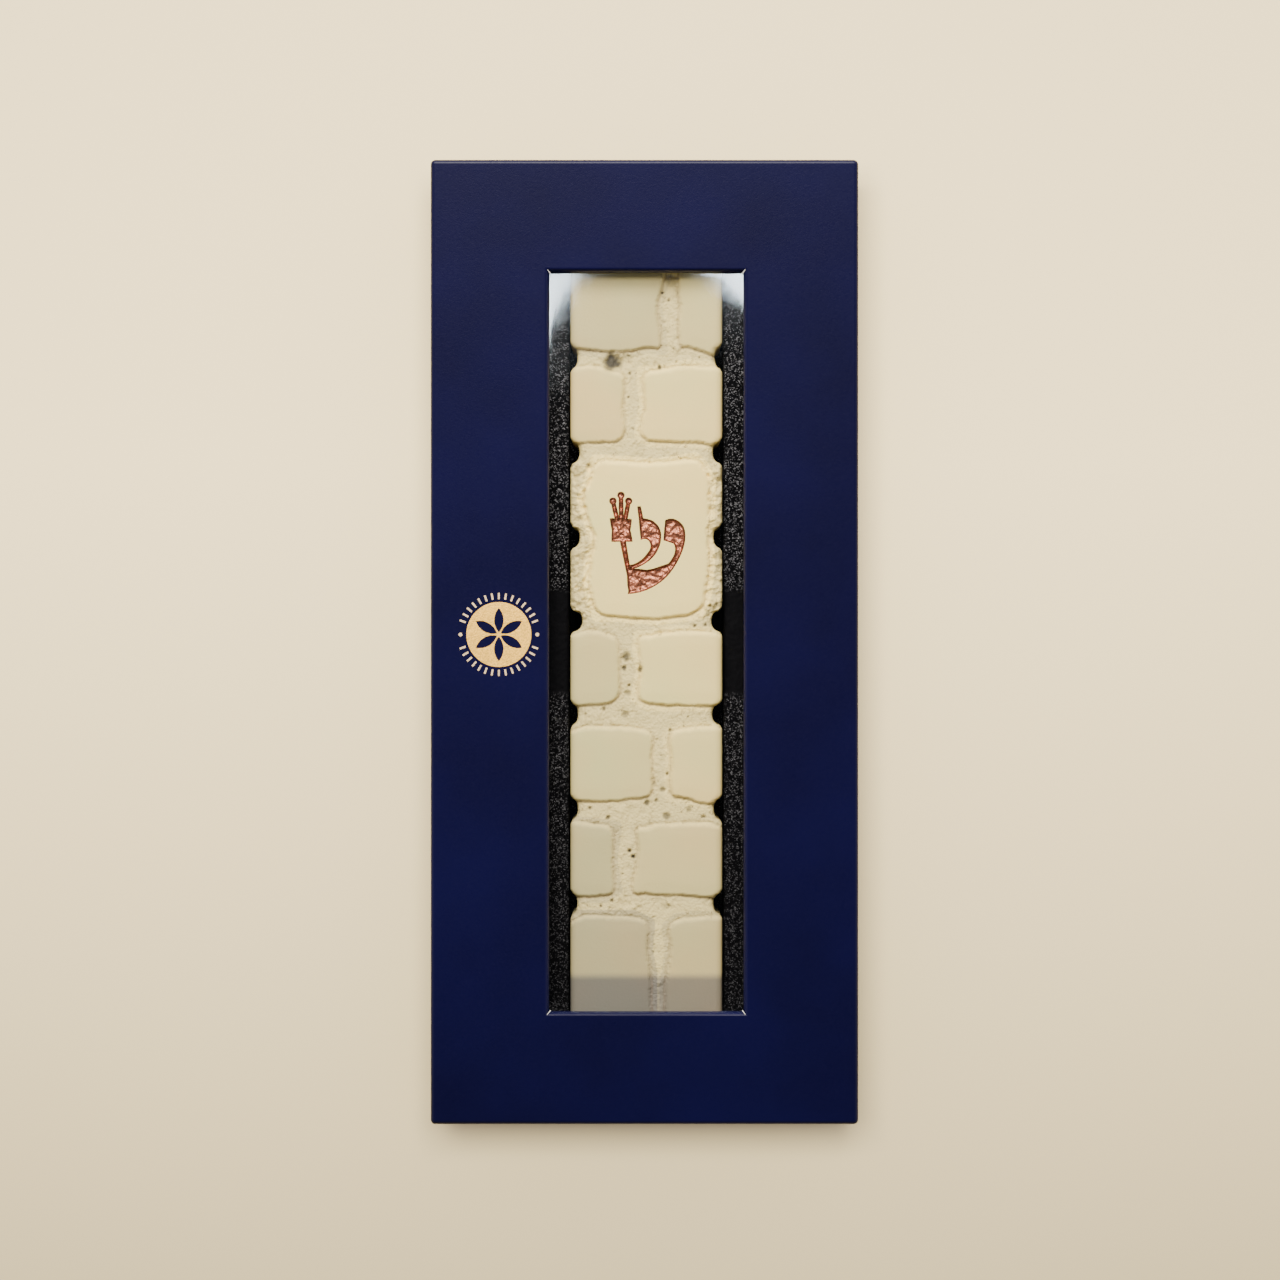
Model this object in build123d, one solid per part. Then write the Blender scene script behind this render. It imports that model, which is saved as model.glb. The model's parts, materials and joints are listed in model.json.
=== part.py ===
from build123d import *
from math import cos, hypot, pi, sin
import os

# Mezuzah case in its windowed presentation box.
#
# A cast-stone mezuzah case, modelled as a stretch of dressed ashlar wall with an inlaid copper letter, lies
# in a die-cut foam bed inside a two-piece rigid paperboard box.  The lid has a clear film window.  The back
# of the case is channelled for a rolled parchment and closed by a snap-in cover, with adhesive strips for a
# doorpost.
#
# Millimetres.  The box lies on its back: +Z out of the window, +Y towards the head of the case, +X to the
# right of someone reading it.  The origin is the centre of the underside.

os.makedirs("parts", exist_ok=True)

# ---------------------------------------------------------------- box, overall
LID_WIDTH = 68.5
LID_LENGTH = 154.5
BOX_HEIGHT = 26.0
LID_DEPTH = 18.0
BOARD = 1.6
PAPER = 0.2
LID_CLEARANCE = 0.5
EDGE_ROUND = 0.8
CORNER_ROUND = 0.75
STAY_TAPE = 0.1
STAY_REACH = 9.0
STAY_SHORT = 1.2
# How far a cutting block runs past the face it opens.
OVERCUT = 1.0

# ---------------------------------------------------------------- window
WINDOW_WIDTH = 31.2
WINDOW_LENGTH = 118.6
WINDOW_SHIFT = 0.3
WINDOW_TURN_IN = 6.0
WINDOW_CORNER_SLIT = 0.32
FILM = 0.25
FILM_MARGIN = 9.0
RIM_TURN_IN = 12.0

# ---------------------------------------------------------------- base and foam
BOTTOM_TURN_UNDER = 8.0
BOTTOM_SHEET_INSET = 2.0
RIM_GAP = 0.15
FOAM_BED = 3.0
FOAM_GAP = 0.1
FOAM_BELOW_STONE = 3.6
POCKET_CLEARANCE = 0.35

# ---------------------------------------------------------------- mezuzah case
CASE_WIDTH = 24.5
CASE_LENGTH = 125.0
CASE_DEPTH = 16.5
MORTAR_DEPTH = 0.9
STONE_DRAFT = 14.0
STONE_ROOT = 0.3
FRONT_ROUND = 1.5
NOTCH_RADIUS = 1.75
NOTCH_DEPTH = 1.3
LETTER_POCKET = 0.8
LETTER_FILL = 0.45
LETTER_PLACE = (0.27, 15.64)
CROWN_BEADS = ((-5.65, 7.05), (-4.36, 7.97), (-3.11, 7.05))
CROWN_ROOTS = ((-4.95, 3.9), (-4.32, 3.9), (-3.7, 3.9))
CROWN_BEAD = 0.46
CROWN_STROKE = 0.46
CHANNEL_WIDTH = 12.0
CHANNEL_DEPTH = 12.0
CHANNEL_LENGTH = 104.0
COVER_WIDTH = 15.0
COVER_LENGTH = 108.0
COVER_THICKNESS = 1.5
COVER_FIT = 0.15
COVER_CORNER = 1.0
THUMB_SLOT_RADIUS = 3.0
RIB_SIZE = (0.8, 9.0, 1.2)
RIB_INSET = 0.7
RIB_PLACE = 42.0
STRIP_WIDTH = 3.2
STRIP_LENGTH = 96.0
STRIP_INSET = 0.2
STRIP_THICKNESS = 1.0
LINER_THICKNESS = 0.12
LINER_TAB = 5.0

# ---------------------------------------------------------------- scroll
SCROLL_LENGTH = 100.0
SCROLL_INNER_RADIUS = 2.6
SCROLL_OUTER_RADIUS = 4.4
SCROLL_TURNS = 4
SPIRAL_STEPS = 16
PARCHMENT = 0.25
SLEEVE_RADIUS = 4.85
SLEEVE_WALL = 0.2
SLEEVE_OVERHANG = 1.0
SLEEVE_REST_GAP = 0.05

# ---------------------------------------------------------------- seal on the lid
SEAL_PLACE = (-23.3, 1.2)
SEAL_RADIUS = 5.2
SEAL_FOIL = 0.05
PETALS = 6
PETAL_LENGTH = 3.9
PETAL_HALF_WIDTH = 0.75
PETAL_GAP = 0.35
RING_RADIUS = 6.15
RING_TICKS = 36
TICK_LENGTH = 1.0
TICK_WIDTH = 0.3
RING_DOT_RADIUS = 0.3

# ---------------------------------------------------------------- heights worked out from the sizes above
LID_TOP = BOX_HEIGHT
LID_RIM = BOX_HEIGHT - LID_DEPTH
LID_PANEL_UNDER = LID_TOP - PAPER - BOARD
LID_LINING_UNDER = LID_PANEL_UNDER - PAPER
FILM_UNDER = LID_LINING_UNDER - FILM
BASE_UNDER = PAPER
BASE_FLOOR = BASE_UNDER + PAPER + BOARD
BED_TOP = BASE_FLOOR + FOAM_BED
CASE_BACK = BED_TOP + LINER_THICKNESS + STRIP_THICKNESS
STONE_TOP = CASE_BACK + CASE_DEPTH
MORTAR_TOP = STONE_TOP - MORTAR_DEPTH
FOAM_TOP = STONE_TOP - FOAM_BELOW_STONE
BASE_RIM = FILM_UNDER - RIM_GAP
SCROLL_AXIS = CASE_BACK + COVER_THICKNESS + SLEEVE_RADIUS + SLEEVE_REST_GAP

# ---------------------------------------------------------------- plan sizes worked out from the sizes above
LID_BOARD = (LID_WIDTH - 2 * PAPER, LID_LENGTH - 2 * PAPER)
LID_INSIDE = (LID_BOARD[0] - 2 * BOARD, LID_BOARD[1] - 2 * BOARD)
LID_CLEAR = (LID_INSIDE[0] - 2 * PAPER, LID_INSIDE[1] - 2 * PAPER)
BASE_OUTSIDE = (LID_CLEAR[0] - 2 * LID_CLEARANCE, LID_CLEAR[1] - 2 * LID_CLEARANCE)
BASE_BOARD = (BASE_OUTSIDE[0] - 2 * PAPER, BASE_OUTSIDE[1] - 2 * PAPER)
BASE_INSIDE = (BASE_BOARD[0] - 2 * BOARD, BASE_BOARD[1] - 2 * BOARD)
BASE_CLEAR = (BASE_INSIDE[0] - 2 * PAPER, BASE_INSIDE[1] - 2 * PAPER)

# Centre height of each mortar bed along the case, which also notches both flanks.
BED_JOINTS = (45.6, 30.4, 17.3, 3.1, -11.9, -27.2, -42.5)

# The six ordinary courses of two stones: upper edge, lower edge, then the middle and width of their joint.
HEAD = CASE_LENGTH / 2
FLANK = CASE_WIDTH / 2
COURSES = {
    "head": (HEAD, 46.9, 3.7, 3.1),
    "second": (44.0, 32.2, -2.2, 3.2),
    "third": (1.3, -10.2, -2.8, 2.9),
    "fourth": (-14.0, -25.6, 2.4, 2.9),
    "fifth": (-29.5, -41.0, -3.4, 3.2),
    "foot": (-44.7, -HEAD, 1.9, 2.8),
}
STONE_CORNER = 0.9

# The large stone that carries the letter, with mortar all round it, clockwise from its upper left corner.
SHIN_STONE = [(-8.2, 29.1), (0.6, 28.6), (8.2, 29.4), (10.2, 25.8), (9.7, 17.3), (10.0, 11.3), (9.5, 6.9),
              (8.1, 3.9), (-1.4, 3.7), (-8.4, 4.4), (-9.4, 11.9), (-8.4, 16.0), (-10.5, 22.4), (-8.9, 26.3)]


def block(size, low, high, shift=(0, 0)):
    """Upright rectangular block of plan size, from height low to height high."""
    place = Pos(shift[0], shift[1], (low + high) / 2)
    return place * Box(size[0], size[1], high - low)


def rounded_block(size, low, high, corner, edge, upper=True):
    """Block with its four upright corners rounded, and its upper or lower outline too."""
    solid = block(size, low, high)
    solid = fillet(solid.edges().filter_by(Axis.Z), corner)
    rims = solid.faces().sort_by(Axis.Z)
    rim = rims[-1] if upper else rims[0]
    return fillet(rim.edges(), edge)


def write(name, *solids):
    """One STEP file per named piece."""
    shape = solids[0] if len(solids) == 1 else Compound(children=list(solids))
    export_step(shape, f"parts/{name}.step")


def upright_rounded(size, low, high, corner):
    """Block with only its four upright corners rounded."""
    solid = block(size, low, high)
    return fillet(solid.edges().filter_by(Axis.Z), corner)


def corner_stays(board_size, low, high):
    """Kraft tape folded round each upright corner of a board shell, let in flush with its outside."""
    radius = CORNER_ROUND - PAPER
    inside = (board_size[0] - 2 * STAY_TAPE, board_size[1] - 2 * STAY_TAPE)
    band = upright_rounded(board_size, low, high, radius)
    band -= upright_rounded(inside, low, high, radius - STAY_TAPE)
    stays = []
    for side_x in (-1, 1):
        for side_y in (-1, 1):
            corner = (side_x * board_size[0] / 2, side_y * board_size[1] / 2)
            stays.append(band & block((2 * STAY_REACH, 2 * STAY_REACH), low, high, corner))
    return stays


# ---------------------------------------------------------------- lid
window = (WINDOW_WIDTH, WINDOW_LENGTH)
window_board = (WINDOW_WIDTH + 2 * PAPER, WINDOW_LENGTH + 2 * PAPER)
window_place = (WINDOW_SHIFT, 0)
window_hem = (WINDOW_WIDTH + 2 * WINDOW_TURN_IN, WINDOW_LENGTH + 2 * WINDOW_TURN_IN)


def make_lid_board():
    """Greyboard shell of the lid: panel with the window, and four walls."""
    low, high = LID_RIM + PAPER, LID_TOP - PAPER
    shell = rounded_block(LID_BOARD, low, high, CORNER_ROUND - PAPER, EDGE_ROUND - PAPER)
    shell -= block(LID_INSIDE, 0, LID_PANEL_UNDER)
    return shell - block(window_board, 0, LID_TOP, window_place)


def make_lid_wrap(board):
    """Navy paper glued over the board, turned in round the rim and round the window."""
    skin = rounded_block((LID_WIDTH, LID_LENGTH), LID_RIM, LID_TOP, CORNER_ROUND, EDGE_ROUND)
    skin -= board
    skin -= block(LID_CLEAR, 0, LID_LINING_UNDER)
    skin -= block(LID_INSIDE, LID_RIM + RIM_TURN_IN, LID_LINING_UNDER)
    hem = block(LID_INSIDE, LID_LINING_UNDER, LID_PANEL_UNDER)
    hem -= block(window_hem, 0, BOX_HEIGHT, window_place)
    skin -= hem
    skin -= block(window, 0, LID_TOP + OVERCUT, window_place)
    for side_x in (-1, 1):
        for side_y in (-1, 1):
            slit = Cylinder(WINDOW_CORNER_SLIT, 2 * (BOARD + 2 * PAPER))
            place = (WINDOW_SHIFT + side_x * WINDOW_WIDTH / 2, side_y * WINDOW_LENGTH / 2, LID_TOP)
            skin -= Pos(*place) * slit
    return skin


def make_lid_lining():
    """Paper that lines the inside of the panel, up to the hem round the window."""
    sheet = block((LID_CLEAR[0] - 2 * PAPER, LID_CLEAR[1] - 2 * PAPER), LID_LINING_UNDER, LID_PANEL_UNDER)
    hole = (window_hem[0] + PAPER, window_hem[1] + PAPER)
    return sheet - block(hole, 0, BOX_HEIGHT, window_place)


lid_stays = corner_stays(LID_BOARD, LID_RIM + PAPER + STAY_SHORT, LID_TOP - EDGE_ROUND - STAY_SHORT)
lid_board_full = make_lid_board()
lid_wrap = make_lid_wrap(lid_board_full)
lid_board = lid_board_full
for stay in lid_stays:
    lid_board -= stay
film_size = (WINDOW_WIDTH + 2 * FILM_MARGIN, WINDOW_LENGTH + 2 * FILM_MARGIN)

write("lid_board", lid_board)
write("lid_corner_stays", *lid_stays)
write("lid_wrap", lid_wrap)
write("lid_lining", make_lid_lining())
write("window_film", block(film_size, FILM_UNDER, LID_LINING_UNDER, window_place))


# ---------------------------------------------------------------- foil seal on the lid
def make_seal_disc():
    """Gold foil disc, with a six-petal compass rosette left bare in it."""
    lens_radius = (PETAL_LENGTH**2 / 4 + PETAL_HALF_WIDTH**2) / (2 * PETAL_HALF_WIDTH)
    lens_offset = lens_radius - PETAL_HALF_WIDTH
    middle = PETAL_LENGTH / 2 + PETAL_GAP
    petal = Pos(-lens_offset, middle) * Circle(lens_radius) & Pos(lens_offset, middle) * Circle(lens_radius)
    face = Sketch() + Circle(SEAL_RADIUS)
    for turn in range(PETALS):
        face -= Rot(0, 0, 360 / PETALS * turn) * petal
    return Pos(*SEAL_PLACE, LID_TOP) * extrude(face, SEAL_FOIL)


def make_seal_ring():
    """Ring of short foil ticks round the disc, broken by a dot at each side."""
    pieces = []
    half_turn = RING_TICKS // 2
    for step in range(RING_TICKS):
        from_dot = min(step % half_turn, -step % half_turn)
        if from_dot == 1:
            continue
        mark = Circle(RING_DOT_RADIUS) if from_dot == 0 else Rectangle(TICK_LENGTH, TICK_WIDTH)
        mark = Rot(0, 0, 360 / RING_TICKS * step) * Pos(RING_RADIUS, 0) * mark
        pieces.append(Pos(*SEAL_PLACE, LID_TOP) * extrude(mark, SEAL_FOIL))
    return pieces


write("seal_disc", make_seal_disc())
write("seal_ring", *make_seal_ring())


# ---------------------------------------------------------------- base
def make_base_board():
    """Greyboard tray."""
    low, high = BASE_UNDER + PAPER, BASE_RIM - PAPER
    tray = rounded_block(BASE_BOARD, low, high, CORNER_ROUND - PAPER, EDGE_ROUND - PAPER, upper=False)
    return tray - block(BASE_INSIDE, BASE_FLOOR, BOX_HEIGHT)


def make_base_wrap(board):
    """Navy paper over the tray's walls, turned in at the rim and turned under the floor."""
    skin = rounded_block(BASE_OUTSIDE, BASE_UNDER, BASE_RIM, CORNER_ROUND, EDGE_ROUND, upper=False)
    skin -= board
    skin -= block(BASE_CLEAR, BASE_FLOOR, BOX_HEIGHT)
    skin -= block(BASE_INSIDE, BASE_FLOOR, BASE_RIM - RIM_TURN_IN)
    hem_opening = (BASE_OUTSIDE[0] - 2 * BOTTOM_TURN_UNDER, BASE_OUTSIDE[1] - 2 * BOTTOM_TURN_UNDER)
    return skin - block(hem_opening, 0, BASE_UNDER + PAPER)


base_stays = corner_stays(BASE_BOARD, BASE_UNDER + EDGE_ROUND + STAY_SHORT, BASE_RIM - PAPER - STAY_SHORT)
base_board_full = make_base_board()
base_wrap = make_base_wrap(base_board_full)
base_board = base_board_full
for stay in base_stays:
    base_board -= stay
bottom_size = (BASE_OUTSIDE[0] - 2 * BOTTOM_SHEET_INSET, BASE_OUTSIDE[1] - 2 * BOTTOM_SHEET_INSET)

write("base_board", base_board)
write("base_corner_stays", *base_stays)
write("base_wrap", base_wrap)
write("base_bottom_sheet", block(bottom_size, 0, BASE_UNDER))

# ---------------------------------------------------------------- foam
foam_size = (BASE_CLEAR[0] - 2 * FOAM_GAP, BASE_CLEAR[1] - 2 * FOAM_GAP)
pocket = (CASE_WIDTH + 2 * POCKET_CLEARANCE, CASE_LENGTH + 2 * POCKET_CLEARANCE)
foam_frame = block(foam_size, BED_TOP, FOAM_TOP)
foam_frame -= block(pocket, 0, BOX_HEIGHT, window_place)

write("foam_bed", block(foam_size, BASE_FLOOR, BED_TOP))
write("foam_frame", foam_frame)


# ---------------------------------------------------------------- letter
def make_letter_face():
    """The letter shin in scribal form, with three crown strokes on its left head."""
    head = [(-6.02, 4.15), (-4.4, 4.12), (-2.74, 3.97), (-2.95, 2.4), (-2.63, 0.63), (-5.76, 0.63),
            (-5.7, 2.3)]
    stem = [(-4.45, 0.8), (-4.36, 0.4), (-3.75, -2.6), (-3.27, -4.89), (-3.2, -6.5), (-3.11, -7.2),
            (-2.75, -6.6), (-2.62, -4.4), (-3.0, -3.6), (-3.71, 0.8)]
    foot_top = Spline((-3.0, -3.75), (-2.52, -3.81), (-0.16, -4.13), (2.02, -3.58), (3.32, -3.15))
    inner_rise = Spline((3.32, -3.15), (4.1, -2.1), (4.5, -0.9), (4.2, 0.3))
    head_side = Polyline((4.2, 0.3), (2.66, 0.84), (2.72, 2.3), (2.89, 3.87))
    outer_fall = Spline((2.89, 3.87), (4.18, 4.02), (5.48, 3.11), (5.9, 1.5), (5.05, -1.86), (2.66, -5.32),
                        (-0.2, -7.15), (-3.11, -7.79))
    foot_end = Line((-3.11, -7.79), (-3.0, -3.75))
    right_arm = [foot_top, inner_rise, head_side, outer_fall, foot_end]
    spike = Polyline((0.48, 3.87), (-0.89, 4.19), (-1.3, 6.03), (-1.6, 6.03), (-1.35, 4.1), (-1.13, 0.95))
    under_head = Spline((-1.13, 0.95), (0.29, 0.63), (0.55, -0.3), (-0.16, -1.65), (-1.4, -2.8), (-2.9, -3.4))
    middle_end = Line((-2.9, -3.4), (-2.85, -3.95))
    back = Spline((-2.85, -3.95), (-0.56, -2.94), (0.94, -1.65), (1.92, 0.52), (1.94, 2.03), (0.48, 3.87))
    middle_arm = [spike, under_head, middle_end, back]
    face = Sketch()
    for corners in (head, stem):
        face += make_face(Polyline(*corners, corners[0]).edges())
    for arm in (right_arm, middle_arm):
        face += make_face([edge for part in arm for edge in part.edges()])
    for bead, root in zip(CROWN_BEADS, CROWN_ROOTS):
        face += Pos(*bead) * Circle(CROWN_BEAD)
        face += stroke(bead, root, CROWN_STROKE)
    return Pos(*LETTER_PLACE) * face


def stroke(start, end, width):
    """Straight pen stroke of constant width."""
    length = hypot(end[0] - start[0], end[1] - start[1])
    along = ((end[0] - start[0]) / length, (end[1] - start[1]) / length)
    across = (-along[1] * width / 2, along[0] * width / 2)
    corners = [(start[0] + across[0], start[1] + across[1]), (end[0] + across[0], end[1] + across[1]),
               (end[0] - across[0], end[1] - across[1]), (start[0] - across[0], start[1] - across[1])]
    return make_face(Polyline(*corners, corners[0]).edges())


# ---------------------------------------------------------------- case
def stone_faces():
    """Plan outline of every dressed stone.  The outer side of an ordinary stone runs past the flank."""
    faces = [make_face(Polyline(*SHIN_STONE, SHIN_STONE[0]).edges())]
    for upper, lower, joint, joint_width in COURSES.values():
        for side in (-1, 1):
            near = joint + side * joint_width / 2
            far = side * (FLANK + MORTAR_DEPTH)
            high = upper + (MORTAR_DEPTH if upper == HEAD else 0)
            low = lower - (MORTAR_DEPTH if lower == -HEAD else 0)
            stone = Pos((near + far) / 2, (high + low) / 2) * Rectangle(abs(far - near), high - low)
            faces.append(chamfer(stone.vertices(), STONE_CORNER).face())
    return faces


def make_case_body(letter):
    """One casting: block at mortar level, dressed stones in relief, letter pocket, and the channel behind."""
    body = block((CASE_WIDTH, CASE_LENGTH), CASE_BACK, MORTAR_TOP)
    for face in stone_faces():
        stone = extrude(face, MORTAR_DEPTH + STONE_ROOT, taper=STONE_DRAFT)
        if stone.bounding_box().center().Z < 0:
            stone = mirror(stone, about=Plane.XY)
        body += Pos(0, 0, MORTAR_TOP - STONE_ROOT) * stone
    body &= make_front_profile()
    for height in BED_JOINTS:
        for side in (-1, 1):
            centre = side * (CASE_WIDTH / 2 - NOTCH_DEPTH + NOTCH_RADIUS)
            notch = Cylinder(NOTCH_RADIUS, CASE_DEPTH + 2 * OVERCUT)
            body -= Pos(centre, height, CASE_BACK + CASE_DEPTH / 2) * notch
    body -= Pos(0, 0, STONE_TOP - LETTER_POCKET) * extrude(letter, LETTER_POCKET + OVERCUT, dir=(0, 0, 1))
    body -= block((CHANNEL_WIDTH, CHANNEL_LENGTH), 0, CASE_BACK + CHANNEL_DEPTH)
    rebate = (COVER_WIDTH, COVER_LENGTH)
    body -= block(rebate, 0, CASE_BACK + COVER_THICKNESS + COVER_FIT)
    return Pos(WINDOW_SHIFT, 0, 0) * body


def make_front_profile():
    """Prism of the whole case with its long front edges rounded, which trims the stones."""
    prism = block((CASE_WIDTH, CASE_LENGTH), CASE_BACK, STONE_TOP)
    long_edges = prism.edges().filter_by(Axis.Y).group_by(Axis.Z)[-1]
    return fillet(long_edges, FRONT_ROUND)


def make_back_cover():
    """Snap-in plate with a thumb slot and four raised ribs that centre it in the rebate."""
    size = (COVER_WIDTH - 2 * COVER_FIT, COVER_LENGTH - 2 * COVER_FIT)
    plate = block(size, CASE_BACK, CASE_BACK + COVER_THICKNESS)
    plate = fillet(plate.edges().filter_by(Axis.Z), COVER_CORNER)
    plate -= Pos(0, -COVER_LENGTH / 2, CASE_BACK) * Cylinder(THUMB_SLOT_RADIUS, 4 * COVER_THICKNESS)
    rib_low = CASE_BACK + COVER_THICKNESS
    for side_x in (-1, 1):
        for side_y in (-1, 1):
            rib_place = (side_x * (CHANNEL_WIDTH / 2 - RIB_INSET), side_y * RIB_PLACE)
            plate += block(RIB_SIZE[:2], rib_low, rib_low + RIB_SIZE[2], rib_place)
    return Pos(WINDOW_SHIFT, 0, 0) * plate


def side_strips(low, high, width, length):
    """A pair of strips down the back of the case, one each side of the cover."""
    reach = COVER_WIDTH / 2 + STRIP_INSET + width / 2
    return [block((width, length), low, high, (WINDOW_SHIFT + side * reach, 0)) for side in (-1, 1)]


letter_face = make_letter_face()
letter_floor = STONE_TOP - LETTER_POCKET
liner_top = BED_TOP + LINER_THICKNESS

write("case_body", make_case_body(letter_face))
write("shin_letter", Pos(WINDOW_SHIFT, 0, letter_floor) * extrude(letter_face, LETTER_FILL, dir=(0, 0, 1)))
write("back_cover", make_back_cover())
write("adhesive_strips", *side_strips(liner_top, CASE_BACK, STRIP_WIDTH, STRIP_LENGTH))
write("release_liners", *side_strips(BED_TOP, liner_top, STRIP_WIDTH, STRIP_LENGTH + LINER_TAB))


# ---------------------------------------------------------------- scroll
def make_scroll():
    """Parchment rolled from its left edge: a strip of constant thickness wound in a spiral."""
    steps = SCROLL_TURNS * SPIRAL_STEPS
    middle, rise = SCROLL_INNER_RADIUS, SCROLL_OUTER_RADIUS - SCROLL_INNER_RADIUS

    def spiral(offset):
        points = []
        for step in range(steps + 1):
            share = step / steps
            radius = middle + rise * share + offset
            angle = 2 * pi * SCROLL_TURNS * share
            points.append((radius * cos(angle), radius * sin(angle)))
        return points

    inner, outer = spiral(-PARCHMENT / 2), spiral(PARCHMENT / 2)
    edges = [Spline(*inner), Spline(*outer), Line(inner[0], outer[0]), Line(inner[-1], outer[-1])]
    roll = extrude(make_face([edge for part in edges for edge in part.edges()]), SCROLL_LENGTH)
    lie_down = Pos(WINDOW_SHIFT, SCROLL_LENGTH / 2, SCROLL_AXIS) * Rot(90, 0, 0)
    return lie_down * roll


def make_sleeve():
    """Clear protective tube round the parchment."""
    length = SCROLL_LENGTH + 2 * SLEEVE_OVERHANG
    tube = Cylinder(SLEEVE_RADIUS, length) - Cylinder(SLEEVE_RADIUS - SLEEVE_WALL, length + OVERCUT)
    return Pos(WINDOW_SHIFT, 0, SCROLL_AXIS) * Rot(90, 0, 0) * tube


write("parchment_scroll", make_scroll())
write("scroll_sleeve", make_sleeve())
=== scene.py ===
"""Boxed mezuzah case.

Papers the rigid box, stretches the window film, granulates the foam, carves the cast-stone case and its copper
letter, finishes the parts behind them, and sets the studio stage.
"""
import json
import math
import random

import bmesh
import bpy
import numpy as np
from bpy.props import FloatProperty, FloatVectorProperty, PointerProperty
from mathutils import Matrix, Vector, noise

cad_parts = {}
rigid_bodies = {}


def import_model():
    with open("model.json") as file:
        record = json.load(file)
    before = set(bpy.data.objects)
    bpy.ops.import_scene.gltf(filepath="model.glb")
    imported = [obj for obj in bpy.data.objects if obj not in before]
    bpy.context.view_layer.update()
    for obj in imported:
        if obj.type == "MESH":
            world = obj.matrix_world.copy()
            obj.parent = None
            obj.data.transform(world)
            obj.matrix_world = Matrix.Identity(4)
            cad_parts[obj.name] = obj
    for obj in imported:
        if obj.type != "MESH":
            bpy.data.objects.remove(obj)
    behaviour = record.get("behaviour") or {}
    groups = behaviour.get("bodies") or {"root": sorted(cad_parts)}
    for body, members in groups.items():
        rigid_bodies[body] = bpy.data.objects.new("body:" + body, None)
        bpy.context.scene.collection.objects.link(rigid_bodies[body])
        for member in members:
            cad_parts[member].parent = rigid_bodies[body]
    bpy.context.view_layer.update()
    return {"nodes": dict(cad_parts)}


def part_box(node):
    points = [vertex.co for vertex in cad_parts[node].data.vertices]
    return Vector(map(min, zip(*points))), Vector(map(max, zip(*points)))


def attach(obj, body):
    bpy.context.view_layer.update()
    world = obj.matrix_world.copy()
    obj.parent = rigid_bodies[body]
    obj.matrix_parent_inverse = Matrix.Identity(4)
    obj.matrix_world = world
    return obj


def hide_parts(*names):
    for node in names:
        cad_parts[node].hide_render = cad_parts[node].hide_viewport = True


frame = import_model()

bl_info = {
    "name": "Boxed mezuzah case",
    "version": (1, 0, 0),
    "blender": (4, 5, 0),
    "location": "3D View > Sidebar > Mezuzah case",
    "description": "Finishes a cast-stone mezuzah case in its windowed presentation box",
    "category": "Object",
}

MM = 0.001
MASKS = "case_masks"
# Painted shade along the letter's outline, stored on the copper.
LETTER_EDGE_SHADE = "letter_rim"


# ================================================================ settings
LENGTH = {"unit": "LENGTH", "subtype": "DISTANCE"}
COLOUR = {"size": 3, "subtype": "COLOR"}


class CaseSettings(bpy.types.PropertyGroup):
    """Sculpting of the cast-stone case and its letter."""

    mortar_depth: FloatProperty(
        name="Mortar depth", description="How far the mortar lies below the stones", default=0.6 * MM, **LENGTH)
    mortar_rough: FloatProperty(
        name="Mortar roughness", description="Height of the lumps in the mortar", default=0.42 * MM, **LENGTH)
    edge_wobble: FloatProperty(
        name="Edge wobble", description="How far the hand-cut edges wander", default=0.16 * MM, **LENGTH)
    flank_round: FloatProperty(
        name="Flank rounding", description="Radius of the long front edges", default=1.3 * MM, **LENGTH)
    grid_step: FloatProperty(
        name="Grid step", description="Spacing of the sculpted surface's points", default=0.185 * MM, **LENGTH)
    letter_step: FloatProperty(
        name="Letter grid step", description="Spacing of the letter's points", default=0.11 * MM, **LENGTH)
    letter_wall: FloatProperty(
        name="Letter wall", description="Width of the copper that slopes up", default=0.34 * MM, **LENGTH)
    letter_spread: FloatProperty(
        name="Letter spread", description="Reach of the paint past the outline", default=0.13 * MM, **LENGTH)
    hammer_height: FloatProperty(
        name="Hammering", description="Height of the hammer marks in the copper", default=0.13 * MM, **LENGTH)
    stone: FloatVectorProperty(
        name="Stone", description="Colour of the dressed stone", default=(0.78, 0.63, 0.245), **COLOUR)
    mortar: FloatVectorProperty(
        name="Mortar", description="Colour of the mortar", default=(0.90, 0.72, 0.29), **COLOUR)
    # Painted shade with dirt: the brown under the stones' edges, darkest under those that face the foot.
    crevice_dirt_and_shade: FloatVectorProperty(
        name="Crevice", description="Colour of the dirt under the stones", default=(0.13, 0.07, 0.03), **COLOUR)
    # Painted shade: the near-black inside the pits.
    pit: FloatVectorProperty(
        name="Pit", description="Colour inside the pits", default=(0.03, 0.028, 0.026), **COLOUR)
    copper: FloatVectorProperty(
        name="Copper", description="Colour of the letter", default=(0.43, 0.15, 0.085), **COLOUR)


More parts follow.
